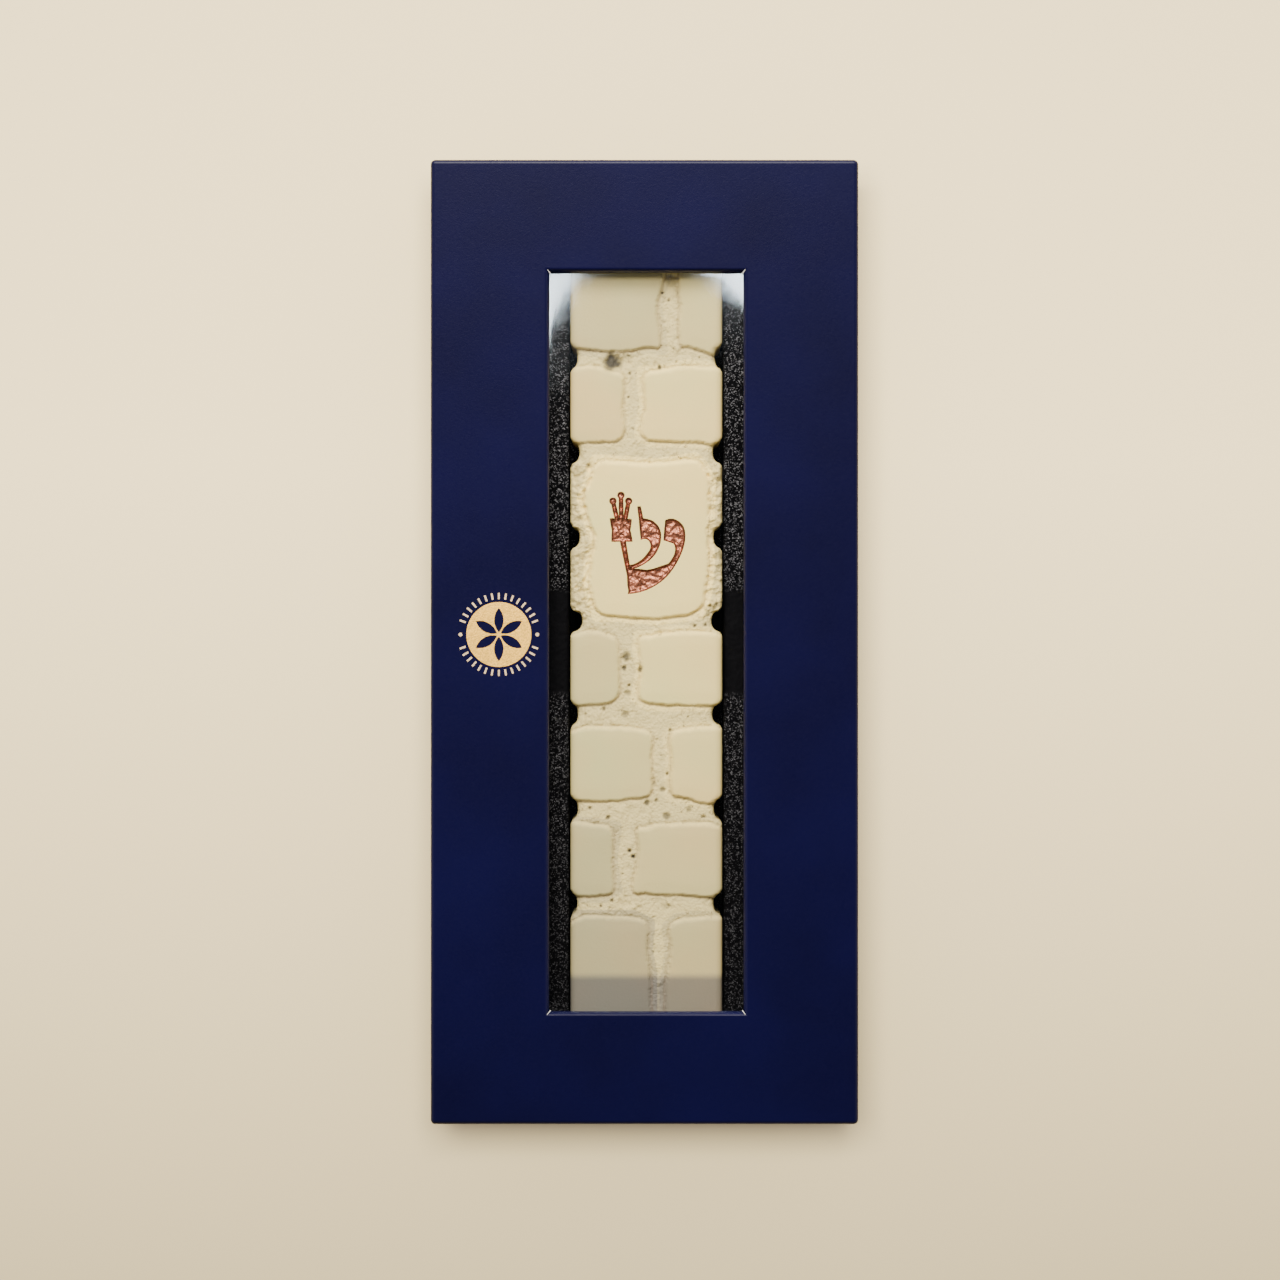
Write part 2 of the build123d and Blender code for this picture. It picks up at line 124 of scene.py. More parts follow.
class BoxSettings(bpy.types.PropertyGroup):
    """Paper, foil, film and foam of the presentation box."""

    navy: FloatVectorProperty(
        name="Navy paper", description="Colour of the cover paper", default=(0.0032, 0.0024, 0.036), **COLOUR)
    lining: FloatVectorProperty(
        name="Lining", description="Colour of the lining paper", default=(0.003, 0.0035, 0.014), **COLOUR)
    gold: FloatVectorProperty(
        name="Gold foil", description="Colour of the seal", default=(0.95, 0.56, 0.10), **COLOUR)
    foam: FloatVectorProperty(
        name="Foam", description="Colour of the foam", default=(0.0014, 0.0013, 0.0017), **COLOUR)
    paper: FloatProperty(
        name="Paper thickness", description="Thickness of the covering paper", default=0.2 * MM, **LENGTH)
    corner: FloatProperty(
        name="Corner radius", description="Radius of the box's upright corners", default=0.75 * MM, **LENGTH)
    edge: FloatProperty(
        name="Edge radius", description="Radius of the papered outer edges", default=0.8 * MM, **LENGTH)
    window_edge: FloatProperty(
        name="Window edge radius", description="Radius of the paper where it turns into the window",
        default=0.7 * MM, **LENGTH)
    turn_in: FloatProperty(
        name="Turn-in", description="How far the paper runs up inside the walls", default=12 * MM, **LENGTH)
    grain_step: FloatProperty(
        name="Foam grid step", description="Spacing of the foam surface's points", default=0.27 * MM, **LENGTH)
    grain_height: FloatProperty(
        name="Foam grain", description="Height of the foam's grains", default=0.34 * MM, **LENGTH)
    film_dip: FloatProperty(
        name="Film dip", description="How far the film sags in its window", default=0.12 * MM, **LENGTH)


class StageSettings(bpy.types.PropertyGroup):
    """Floor, lights and camera."""

    floor: FloatVectorProperty(
        name="Floor", description="Colour of the floor", default=(0.84, 0.68, 0.40), **COLOUR)
    sky: FloatVectorProperty(
        name="Room light", description="Colour of the walls' light", default=(1.0, 0.97, 0.92), **COLOUR)
    sky_strength: FloatProperty(
        name="Room strength", description="Strength of the walls' light", default=1.1)
    key: FloatProperty(
        name="Key power", description="Power of the soft light beyond the head", default=7.0, unit="POWER")
    down_light: FloatProperty(
        name="Down light power", description="Power of the steep light that shapes the stone, foam and letter",
        default=4.0, unit="POWER")
    floor_light: FloatProperty(
        name="Floor light power", description="Power of the overhead light that falls on the floor only",
        default=10.6, unit="POWER")
    floor_fill: FloatProperty(
        name="Floor fill power", description="Power of the wide cool floor light", default=4.0, unit="POWER")
    camera_height: FloatProperty(
        name="Camera height", description="Height of the camera over the lid", default=0.5, **LENGTH)
    view_width: FloatProperty(
        name="View width", description="Width of the picture at the lid", default=0.2048, **LENGTH)


class BoxedCaseSettings(bpy.types.PropertyGroup):
    """All settings of the boxed mezuzah case."""

    case: PointerProperty(type=CaseSettings)
    box: PointerProperty(type=BoxSettings)
    stage: PointerProperty(type=StageSettings)


def settings():
    """The scene's settings of this object."""
    return bpy.context.scene.boxed_mezuzah_case


# ================================================================ mesh helpers
# Points nearer than this count as level with each other, or as the same.
TOUCH = MM / 100
MERGE = MM / 1000


def spot(node):
    """Lowest corner, highest corner and centre of a CAD node."""
    low, high = (Vector(corner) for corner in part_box(node))
    return low, high, (low + high) / 2


def new_shape(make, extent, centre, **parts):
    """A bmesh with one unit shape in it, stretched to an extent and moved to its centre."""
    bm = bmesh.new()
    make(bm, **parts)
    bmesh.ops.scale(bm, vec=extent, verts=bm.verts)
    bmesh.ops.translate(bm, vec=centre, verts=bm.verts)
    return bm


def level_grid(size, centre, counts):
    """A bmesh with a level grid in it, of so many faces each way."""
    return new_shape(bmesh.ops.create_grid, (size[0], size[1], 1), centre, x_segments=counts[0],
                     y_segments=counts[1], size=0.5)


def add_object(name, data):
    """Adds an object to the scene."""
    made = bpy.data.objects.new(name, data)
    bpy.context.scene.collection.objects.link(made)
    return made


def new_object(name, bm):
    """Turns a bmesh into an object of the scene."""
    mesh = bpy.data.meshes.new(name)
    bm.normal_update()
    bm.to_mesh(mesh)
    bm.free()
    return add_object(name, mesh)


def smooth_below(mesh, degrees):
    """Shades a mesh smooth, with a crease where its faces meet at a larger angle."""
    mesh.shade_smooth()
    mesh.set_sharp_from_angle(angle=math.radians(degrees))


def place_piece(bm, name, body, material, replaces=(), crease=40):
    """Turns a bmesh into a finished piece riding on its body."""
    piece = new_object(name, bm)
    piece.data.materials.append(material)
    smooth_below(piece.data, crease)
    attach(piece, body)
    if replaces:
        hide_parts(*replaces)
    return piece


def keep_faces_flat(piece):
    """Lets the large faces decide the shading, so that they stay flat up to their rounded edges."""
    piece.modifiers.new("flat faces", "WEIGHTED_NORMAL").keep_sharp = True


def merged_copy(node):
    """A CAD node's mesh as a bmesh, its doubled points merged."""
    bm = bmesh.new()
    bm.from_mesh(frame["nodes"][node].data)
    bmesh.ops.remove_doubles(bm, verts=bm.verts, dist=MERGE)
    return bm


def dress_nodes(material, *nodes):
    """Gives CAD nodes a finished material."""
    for name in nodes:
        materials = frame["nodes"][name].data.materials
        materials.clear()
        materials.append(material)


def at_height(item, height):
    """Whether all of an edge or a face lies at a height."""
    return all(abs(vert.co.z - height) < TOUCH for vert in item.verts)


def open_edges(bm, height=None):
    """The edges with one face only, or those of them at a height."""
    return [edge for edge in bm.edges if edge.is_boundary and (height is None or at_height(edge, height))]


def to_height(height):
    """A move straight up or down to a height."""
    return lambda place: Vector((place.x, place.y, height))


def depth_in_box(place, low, high):
    """Distance in from the nearest upright wall of a box, negative outside it."""
    return min(min(place[axis] - low[axis], high[axis] - place[axis]) for axis in (0, 1))


def extrude_loop(bm, edges, reshape):
    """Extrudes open edges and reshapes the new points.  Returns the new edges."""
    made = bmesh.ops.extrude_edge_only(bm, edges=edges)["geom"]
    for vert in (item for item in made if isinstance(item, bmesh.types.BMVert)):
        vert.co = reshape(vert.co)
    return [item for item in made if isinstance(item, bmesh.types.BMEdge) and item.is_boundary]


def apply_boolean(piece, cutter, operation, crossing=False):
    """Cuts or keeps part of a piece with another mesh, which is thrown away.  crossing: the meshes fold."""
    modifier = piece.modifiers.new("cut", "BOOLEAN")
    modifier.object = cutter
    modifier.operation = operation
    modifier.solver = "EXACT"
    modifier.use_self = crossing
    bpy.context.view_layer.update()
    graph = bpy.context.evaluated_depsgraph_get()
    result = bpy.data.meshes.new_from_object(piece.evaluated_get(graph))
    old = piece.data
    piece.modifiers.clear()
    piece.data = result
    result.name = piece.name
    bpy.data.meshes.remove(old)
    bpy.data.objects.remove(cutter)


def points_of(mesh):
    """Coordinates of a mesh's points, one row each."""
    flat = np.zeros(len(mesh.vertices) * 3)
    mesh.vertices.foreach_get("co", flat)
    return flat.reshape(-1, 3)


def store(mesh, name, kind, field, values):
    """Stores a value at each point of a mesh, for its material."""
    layer = mesh.attributes.new(name, kind, "POINT")
    layer.data.foreach_set(field, values.ravel())


def soft_step(low, high, value):
    """Smooth rise from 0 at low to 1 at high."""
    share = np.clip((value - low) / (high - low), 0, 1)
    return share * share * (3 - 2 * share)


def rough(x, y, frequency, octaves, seed):
    """Fractal noise over the plane, about -1 to 1."""
    return np.array([noise.fractal(Vector((a * frequency, b * frequency, seed)), 0.9, 2.1, octaves)
                     for a, b in zip(x, y)])


# ================================================================ node helpers
def add_node(tree, kind, inputs=None, **attributes):
    """Adds a shader node, with its attributes and inputs set.  An input is a number, a colour or a socket."""
    node = tree.nodes.new(kind)
    for name, value in attributes.items():
        setattr(node, name, value)
    for name, value in (inputs or {}).items():
        socket = node.inputs[name]
        if isinstance(value, bpy.types.NodeSocket):
            tree.links.new(value, socket)
        else:
            socket.default_value = (*value[:3], 1.0) if socket.type == "RGBA" else value
    return node


def join(start, end):
    """Links two sockets."""
    end.id_data.links.new(start, end)


def work_out(kind, inputs, **attributes):
    """Adds a node to the tree that its linked inputs belong to."""
    tree = next(value.id_data for value in inputs.values() if isinstance(value, bpy.types.NodeSocket))
    return add_node(tree, kind, inputs, **attributes).outputs


def math_node(operation, first, second=None, clamp=False):
    """A Math node over sockets or numbers.  Returns its output."""
    inputs = {0: first} if second is None else {0: first, 1: second}
    return work_out("ShaderNodeMath", inputs, operation=operation, use_clamp=clamp)[0]


def times(first, second):
    """The product of two sockets or numbers."""
    return math_node("MULTIPLY", first, second)


def ramp(value, low, high):
    """Straight rise from 0 at low to 1 at high, clamped.  Returns the output."""
    inputs = {"From Min": low, "From Max": high, "Value": value}
    return work_out("ShaderNodeMapRange", inputs, clamp=True)["Result"]


def blend_colours(share, first, second, mode="MIX"):
    """Mixes two colours, given as sockets or values.  Returns the output."""
    return work_out("ShaderNodeMix", {0: share, 6: first, 7: second}, data_type="RGBA", blend_type=mode)[2]


def tone(colour, factor):
    """A colour made darker or lighter."""
    return [channel * factor for channel in colour]


def new_group(name, rate, results):
    """An empty node group over a Vector and a rate, a socket's name with its default.  It puts out values."""
    group = bpy.data.node_groups.new(name, "ShaderNodeTree")
    add_socket = group.interface.new_socket
    add_socket("Vector", in_out="INPUT", socket_type="NodeSocketVector")
    add_socket(rate[0], in_out="INPUT", socket_type="NodeSocketFloat").default_value = rate[1]
    for socket in results:
        add_socket(socket, in_out="OUTPUT", socket_type="NodeSocketFloat")
    given, result = group.nodes.new("NodeGroupInput").outputs, group.nodes.new("NodeGroupOutput").inputs
    return group, given["Vector"], times(given[rate[0]], 1 / MM), result


def fibre_group():
    """Paper fibres: a fine crossed grain and a slow cloudiness."""
    if "paper fibres" in bpy.data.node_groups:
        return bpy.data.node_groups["paper fibres"]
    group, place, scale, result = new_group("paper fibres", ("Fibre per mm", 3.0), ("Height", "Cloud"))
    fibre = work_out("ShaderNodeTexNoise", {
        "Vector": place, "Scale": scale, "Detail": 3.0, "Roughness": 0.65, "Distortion": 1.2})
    cloud = work_out("ShaderNodeTexNoise", {"Vector": place, "Scale": 45.0, "Detail": 3.0, "Roughness": 0.5})
    join(fibre["Fac"], result["Height"])
    join(ramp(cloud["Fac"], 0.3, 0.7), result["Cloud"])
    return group


def grain_group():
    """Packed grains: rounded cells, each with its own random value."""
    if "packed grains" in bpy.data.node_groups:
        return bpy.data.node_groups["packed grains"]
    results = ("Height", "Random", "Fine")
    group, place, scale, result = new_group("packed grains", ("Grains per mm", 2.0), results)
    fine_scale = times(scale, 3.1)
    cells = work_out("ShaderNodeTexVoronoi", {"Vector": place, "Scale": scale, "Randomness": 1.0}, feature="F1")
    fine = work_out("ShaderNodeTexNoise", {
        "Vector": place, "Scale": fine_scale, "Detail": 4.0, "Roughness": 0.6})
    split = work_out("ShaderNodeSeparateColor", {"Color": cells["Color"]})
    join(math_node("SUBTRACT", 1.0, cells["Distance"], clamp=True), result["Height"])
    join(split[0], result["Random"])
    join(fine["Fac"], result["Fine"])
    return group


def start_material(name, **constants):
    """A material with one Principled shader, its plain values set on the shader's own sockets."""
    material = bpy.data.materials.new(name)
    material.use_nodes = True
    tree = material.node_tree
    shader = tree.nodes["Principled BSDF"]
    for socket, value in constants.items():
        shader.inputs[socket.replace("_", " ")].default_value = value
    here = add_node(tree, "ShaderNodeTexCoord").outputs["Object"]
    return material, shader, here


def place_group(group, here, rate):
    """Places a shared effect in a material, with its fibres or grains per millimetre."""
    return work_out("ShaderNodeGroup", {"Vector": here, 1: rate}, node_tree=group)


def add_bump(shader, height, distance, strength=1.0, under=None):
    """Feeds a height to the shader's normal, over an earlier bump if one is given."""
    inputs = {"Distance": distance, "Strength": strength, "Height": height}
    if under is not None:
        inputs["Normal"] = under
    normal = work_out("ShaderNodeBump", inputs)["Normal"]
    join(normal, shader.inputs["Normal"])
    return normal


def set_polish(shader, value, spread, start):
    """Lets a value vary the shader's roughness upwards from a start."""
    join(math_node("ADD", times(value, spread), start), shader.inputs["Roughness"])


# ================================================================ materials
def paper_material(name, colour, roughness, fibre_per_mm=2.2, relief=0.02 * MM, cloud=0.22, **constants):
    """Coated or plain paper: fibres in its relief, cloudiness in its colour and polish."""
    material, shader, here = start_material(name, **constants)
    fibres = place_group(fibre_group(), here, fibre_per_mm)
    lighter = tone(colour, 1 + cloud)
    base = blend_colours(fibres["Cloud"], tone(colour, 1 - cloud), lighter)
    speck = ramp(fibres["Height"], 0.3, 0.7)
    base = blend_colours(times(speck, cloud), base, lighter)
    join(base, shader.inputs["Base Color"])
    set_polish(shader, fibres["Height"], 0.16, roughness - 0.08)
    add_bump(shader, fibres["Height"], relief)
    return material


def foam_material():
    """Black foam of bonded grains with painted glints, brightest towards the head, and none in a band of
    painted shade beside the middle of the case, where the grain is flatter too.
    """
    colour = settings().box.foam
    material, shader, here = start_material("black_foam", Roughness=0.6, Specular_IOR_Level=0.05)
    along = work_out("ShaderNodeSeparateXYZ", {0: here})["Y"]
    # Painted shade: a band beside the middle of the case keeps no glints and a flatter grain.
    grain_outside_shaded_band = ramp(math_node("ABSOLUTE", along), 8 * MM, 9.5 * MM)
    grains = place_group(grain_group(), here, 5.5)
    # Painted glints: bright grains mixed into the base colour.
    glint = ramp(grains["Random"], 0.72, 0.96)
    glint = times(glint, ramp(grains["Fine"], 0.42, 0.62))
    glint = times(glint, grain_outside_shaded_band)
    # Painted light: the glints grow brighter towards the head of the case.
    headward = times(ramp(along, -50 * MM, 30 * MM), 0.66)
    glint = times(glint, math_node("ADD", headward, 0.34))
    painted_glint_colour = [channel * 60 + 0.34 for channel in colour]
    middling = blend_colours(ramp(grains["Fine"], 0.35, 0.7), colour, tone(colour, 2.4))
    join(blend_colours(glint, middling, painted_glint_colour), shader.inputs["Base Color"])
    join(math_node("SUBTRACT", 0.75, times(glint, 0.4)), shader.inputs["Roughness"])
    relief = times(math_node("ADD", grains["Height"], grains["Fine"]), grain_outside_shaded_band)
    add_bump(shader, relief, 0.2 * MM, 0.9)
    return material


def stone_material():
    """Cast stone: smooth stones, gritty mortar, crevices brown with dirt and painted shade, pits darkened with
    painted shade, and stone tones that carry painted light and shade.
    """
    look = settings().case
    material, shader, here = start_material("cast_stone", Roughness=0.72, Specular_IOR_Level=0.3)
    stored = add_node(material.node_tree, "ShaderNodeAttribute", attribute_name=MASKS).outputs
    dressed, crevice_dirt_and_shade, pit = work_out("ShaderNodeSeparateColor", {"Color": stored["Color"]})
    grains = place_group(grain_group(), here, 2.2)
    cloud = place_group(fibre_group(), here, 0.35)
    warm, cool = ([channel * factor for channel, factor in zip(look.stone, factors)]
                  for factors in ((1.05, 0.96, 0.92), (0.9, 0.99, 1.0)))
    stone = blend_colours(cloud["Cloud"], cool, warm)
    veins = times(ramp(cloud["Height"], 0.35, 0.7), 0.35)
    stone = blend_colours(veins, stone, tone(look.stone, 0.93))
    grit = times(ramp(grains["Fine"], 0.4, 0.75), 0.3)
    mortar = blend_colours(grit, look.mortar, tone(look.mortar, 0.8))
    base = blend_colours(dressed, mortar, stone)
    # Painted light and shade ride on the stone's tone: darker towards the foot and on the left, lighter along
    # edges that face the head. Blue darkens least, so the painted shade turns grey.
    tone_and_painted_light = stored["Alpha"]
    shade = add_node(material.node_tree, "ShaderNodeCombineColor", {0: tone_and_painted_light})
    for channel, power in ((1, 0.93), (2, 0.5)):
        join(math_node("POWER", tone_and_painted_light, power), shade.inputs[channel])
    base = blend_colours(1.0, base, shade.outputs[0], "MULTIPLY")
    specks = times(ramp(grains["Random"], 0.955, 0.985), ramp(grains["Fine"], 0.5, 0.62))
    bare = math_node("SUBTRACT", 1.0, dressed)
    base = blend_colours(times(specks, bare), base, look.crevice_dirt_and_shade)
    # Brown in the crevices: dirt with painted shade. Near-black in the pits: painted shade.
    base = blend_colours(crevice_dirt_and_shade, base, look.crevice_dirt_and_shade)
    base = blend_colours(pit, base, look.pit)
    join(base, shader.inputs["Base Color"])
    gritty = math_node("SUBTRACT", 1.0, times(dressed, 0.88))
    relief = times(math_node("ADD", grains["Height"], grains["Fine"]), gritty)
    add_bump(shader, relief, 0.13 * MM, 0.9)
    return material


def copper_material():
    """Hammered copper-coloured metal, darker where it is dull, with a painted shade along the letter's rim."""
    colour = settings().case.copper
    material, shader, here = start_material("copper_enamel", Metallic=0.85, Roughness=0.34)
    grains = place_group(grain_group(), here, 1.5)
    rim = add_node(material.node_tree, "ShaderNodeAttribute", attribute_name=LETTER_EDGE_SHADE).outputs["Fac"]
    base = blend_colours(ramp(grains["Fine"], 0.35, 0.6), tone(colour, 0.42), colour)
    # Painted shade along the letter's outline.
    base = blend_colours(times(rim, 0.8), base, tone(colour, 0.12))
    join(base, shader.inputs["Base Color"])
    hammered = add_bump(shader, grains["Height"], 0.1 * MM, 0.6)
    add_bump(shader, grains["Fine"], 0.05 * MM, 0.5, hammered)
    set_polish(shader, grains["Fine"], 0.3, 0.2)
    return material


def foil_material(name, colour):
    """Hot-stamped foil, finely granular."""
    material, shader, here = start_material(name, Metallic=0.9, Roughness=0.5)
    grains = place_group(grain_group(), here, 5.0)
    base = blend_colours(ramp(grains["Random"], 0.1, 0.9), tone(colour, 0.7), colour)
    join(base, shader.inputs["Base Color"])
    add_bump(shader, grains["Height"], 0.03 * MM, 0.5)
    set_polish(shader, grains["Fine"], 0.3, 0.38)
    return material


def film_material(name, gloss):
    """Clear film: see-through, with a mirror gloss that grows towards grazing angles."""
    film = {"Metallic": 1.0, "Roughness": 0.04, "Base_Color": (0.72, 0.86, 1.0, 1.0)}
    material, shader, here = start_material(name, **film)
    fresnel = add_node(material.node_tree, "ShaderNodeFresnel", {"IOR": 1.5}).outputs["Fac"]
    behind = add_node(material.node_tree, "ShaderNodeNewGeometry").outputs["Backfacing"]
    front = math_node("SUBTRACT", gloss, times(behind, gloss))
    join(math_node("MINIMUM", times(fresnel, front), 1.0), shader.inputs["Alpha"])
    haze = work_out("ShaderNodeTexNoise", {"Vector": here, "Scale": 120.0, "Detail": 2.0})["Fac"]
    set_polish(shader, haze, 0.06, 0.02)
    return material


def moulded_material(name, colour, roughness):
    """Moulded plastic or foam tape with a fine spark-eroded grain."""
    material, shader, here = start_material(name, Roughness=roughness)
    grain = place_group(grain_group(), here, 4.0)["Fine"]
    paler = [min(1, channel) for channel in tone(colour, 1.12)]
    join(blend_colours(grain, colour, paler), shader.inputs["Base Color"])
    add_bump(shader, grain, 0.03 * MM, 0.6)
    return material


# ================================================================ box
WINDOW = {"half": Vector((15.6, 59.3)) * MM, "middle": 0.3 * MM, "hem": 6 * MM}
SEAM_PLACE = 26.4 * MM
SEAM_STEP = 0.08 * MM
SEAM_WIDTH = 0.12 * MM
BASE_HEM = 8 * MM
BOARD = 1.6 * MM
FOLD = 0.25 * MM
FLECK_SINK = 0.22 * MM
# The foam: play round the case, the rolled-over edge, and the levels of points down its walls.
POCKET_GAP = 0.35 * MM
ROLL_WIDTH = 0.7 * MM
ROLL_DROP = 0.3 * MM
WALL_STEPS = (0.6 * MM, 2.5 * MM)


def cut_across(bm, places, axis):
    """Cuts the whole mesh by planes square to an axis."""
    normal = [float(axis == other) for other in range(3)]
    for place in places:
        bmesh.ops.bisect_plane(bm, geom=[*bm.verts, *bm.edges, *bm.faces], dist=MERGE,
                               plane_co=[place * part for part in normal], plane_no=normal)


def bevel_edges(bm, edges, radius, segments):
    """Rounds edges with a true arc."""
    bmesh.ops.bevel(bm, geom=edges, offset=radius, offset_type="OFFSET", segments=segments, affect="EDGES",
                    profile=0.5, material=-1, clamp_overlap=True)


def paper_tub(node, mouth):
    """The outside of a papered shell with rounded edges and end seams.  mouth: 1 upwards, -1 downwards."""
    low, high, middle = spot(node)
    look = settings().box
    bm = new_shape(bmesh.ops.create_cube, high - low, middle, size=1.0)
    closed_end, open_end = (low.z, high.z) if mouth > 0 else (high.z, low.z)
    upright = [edge for edge in bm.edges if abs((edge.verts[0].co - edge.verts[1].co).z) > (high - low).z / 2]
    bevel_edges(bm, upright, look.corner, 6)
    bevel_edges(bm, [edge for edge in bm.edges if at_height(edge, closed_end)], look.edge, 6)
    caps = [face for face in bm.faces if at_height(face, open_end)]
    bmesh.ops.delete(bm, geom=caps, context="FACES_ONLY")
    press_end_seams(bm, low, high)
    return bm, low, high


def is_window_edge(edge, height):
    """Whether an edge runs round the window's board at a height, as a crease."""
    for vert in edge.verts:
        aside = abs(vert.co.x - WINDOW["middle"]) - WINDOW["half"].x
        along = abs(vert.co.y) - WINDOW["half"].y
        if max(aside, along) > MM:
            return False
    return at_height(edge, height) and len(edge.link_faces) == 2 and edge.calc_face_angle() > 1


def press_end_seams(bm, low, high):
    """Steps the end walls in between the side flaps that are folded round their corners."""
    for side in (-1, 1):
        cut_across(bm, (side * SEAM_PLACE, side * (SEAM_PLACE + SEAM_WIDTH)), 0)
    for vert in bm.verts:
        for wall in (low.y, high.y):
            if abs(vert.co.x) <= SEAM_PLACE + SEAM_WIDTH / 4 and abs(vert.co.y - wall) < TOUCH:
                vert.co.y -= math.copysign(SEAM_STEP, wall)


def drawn_in(edges, width):
    """A move that draws a loop of edges in by a width all round."""
    reach = [max(abs(vert.co[axis]) for edge in edges for vert in edge.verts) for axis in (0, 1)]
    return lambda place: Vector((place.x * (1 - width / reach[0]), place.y * (1 - width / reach[1]), place.z))


def turn_in_rim(bm, mouth, open_end):
    """Folds the paper over the wall's rim and runs it down inside."""
    look = settings().box
    rim = open_edges(bm, open_end)
    inner = extrude_loop(bm, rim, drawn_in(rim, BOARD + 2 * look.paper))
    extrude_loop(bm, inner, lambda place: place - Vector((0, 0, mouth * look.turn_in)))
    bevel_edges(bm, [edge for edge in rim + inner if edge.is_valid], FOLD, 3)


def give_thickness(bm, low, high):
    """Turns a skin into paper inwards, and keeps every point of it between the corners low and high."""
    bmesh.ops.recalc_face_normals(bm, faces=bm.faces)
    top = max(bm.faces, key=lambda face: abs(face.normal.z) * face.calc_area())
    outward = 1 if top.calc_center_median().z > 10 * MM else -1
    if top.normal.z * outward < 0:
        bmesh.ops.reverse_faces(bm, faces=bm.faces)
    bmesh.ops.solidify(bm, geom=bm.faces, thickness=settings().box.paper)
    for vert in bm.verts:
        vert.co = [min(max(value, least), most) for value, least, most in zip(vert.co, low, high)]


class MEZUZAH_OT_lid_paper(bpy.types.Operator):
    """Paper the lid: rounded edges, end seams, window turned in and hemmed"""

    bl_idname = "mezuzah.lid_paper"
    bl_label = "Paper the lid"

    def execute(self, context):
        look = settings().box
        bm, low, high = paper_tub("lid_wrap", mouth=-1)
        half, shift = WINDOW["half"], WINDOW["middle"]
        for side in (-1, 1):
            cut_across(bm, [shift + side * half.x], 0)
            cut_across(bm, [side * half.y], 1)
        corners = [(shift + side * half.x, side * half.y) for side in (-1, 1)]
        opening = [face for face in bm.faces if face.calc_center_median().z > high.z - TOUCH
                   and depth_in_box(face.calc_center_median(), *corners) > 0]
        bmesh.ops.delete(bm, geom=opening, context="FACES_ONLY")
        edge = open_edges(bm, high.z)
        lower = extrude_loop(bm, edge, to_height(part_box("window_film")[1][2]))

        def hem(place):
            across = math.copysign(WINDOW["hem"], place.x - shift)
            return Vector((place.x + across, place.y + math.copysign(WINDOW["hem"], place.y), place.z))

        extrude_loop(bm, lower, hem)
        bevel_edges(bm, edge, look.window_edge, 5)
        turn_in_rim(bm, -1, low.z)
        give_thickness(bm, low, high)
        gloss = {"Specular_IOR_Level": 0.19, "Coat_Weight": 0.04, "Coat_Roughness": 0.2}
        navy = paper_material("navy_paper", look.navy, 0.4, **gloss)
        keep_faces_flat(place_piece(bm, "lid_paper", "lid", navy, ["lid_wrap"]))
        return {"FINISHED"}


class MEZUZAH_OT_base_paper(bpy.types.Operator):
    """Paper the base tray and finish the boards, tapes and linings"""

    bl_idname = "mezuzah.base_paper"
    bl_label = "Paper the base"

    def execute(self, context):
        look = settings().box
        bm, low, high = paper_tub("base_wrap", mouth=1)
        under = [face for face in bm.faces if face.calc_center_median().z < low.z + TOUCH]
        bmesh.ops.delete(bm, geom=under, context="FACES")
        hem = open_edges(bm, low.z)
        extrude_loop(bm, hem, drawn_in(hem, BASE_HEM))
        turn_in_rim(bm, 1, high.z)
        give_thickness(bm, low, high)
        place_piece(bm, "base_paper", "box_base", bpy.data.materials["navy_paper"], ["base_wrap"])
        lining = paper_material("lining_paper", look.lining, 0.7, 1.6, relief=0.04 * MM)
        board = paper_material("greyboard", (0.2, 0.18, 0.15), 0.85, 1.1, relief=0.12 * MM, cloud=0.35)
        kraft = paper_material("kraft_tape", (0.36, 0.2, 0.09), 0.6, 1.4, relief=0.05 * MM)
        dress_nodes(lining, "lid_lining", "base_bottom_sheet")
        dress_nodes(board, "base_board")
        self.round_board_window(board)
        dress_nodes(kraft, "lid_corner_stays", "base_corner_stays")
        return {"FINISHED"}

    def round_board_window(self, board):
        """Rounds the board's edge where the paper bends into the window."""
        look = settings().box
        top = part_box("lid_board")[1][2]
        bm = merged_copy("lid_board")
        bmesh.ops.dissolve_limit(bm, angle_limit=math.radians(0.5), verts=bm.verts, edges=bm.edges)
        window = [edge for edge in bm.edges if is_window_edge(edge, top)]
        bevel_edges(bm, window, look.window_edge - look.paper, 5)
        place_piece(bm, "lid_greyboard", "lid", board, ["lid_board"])


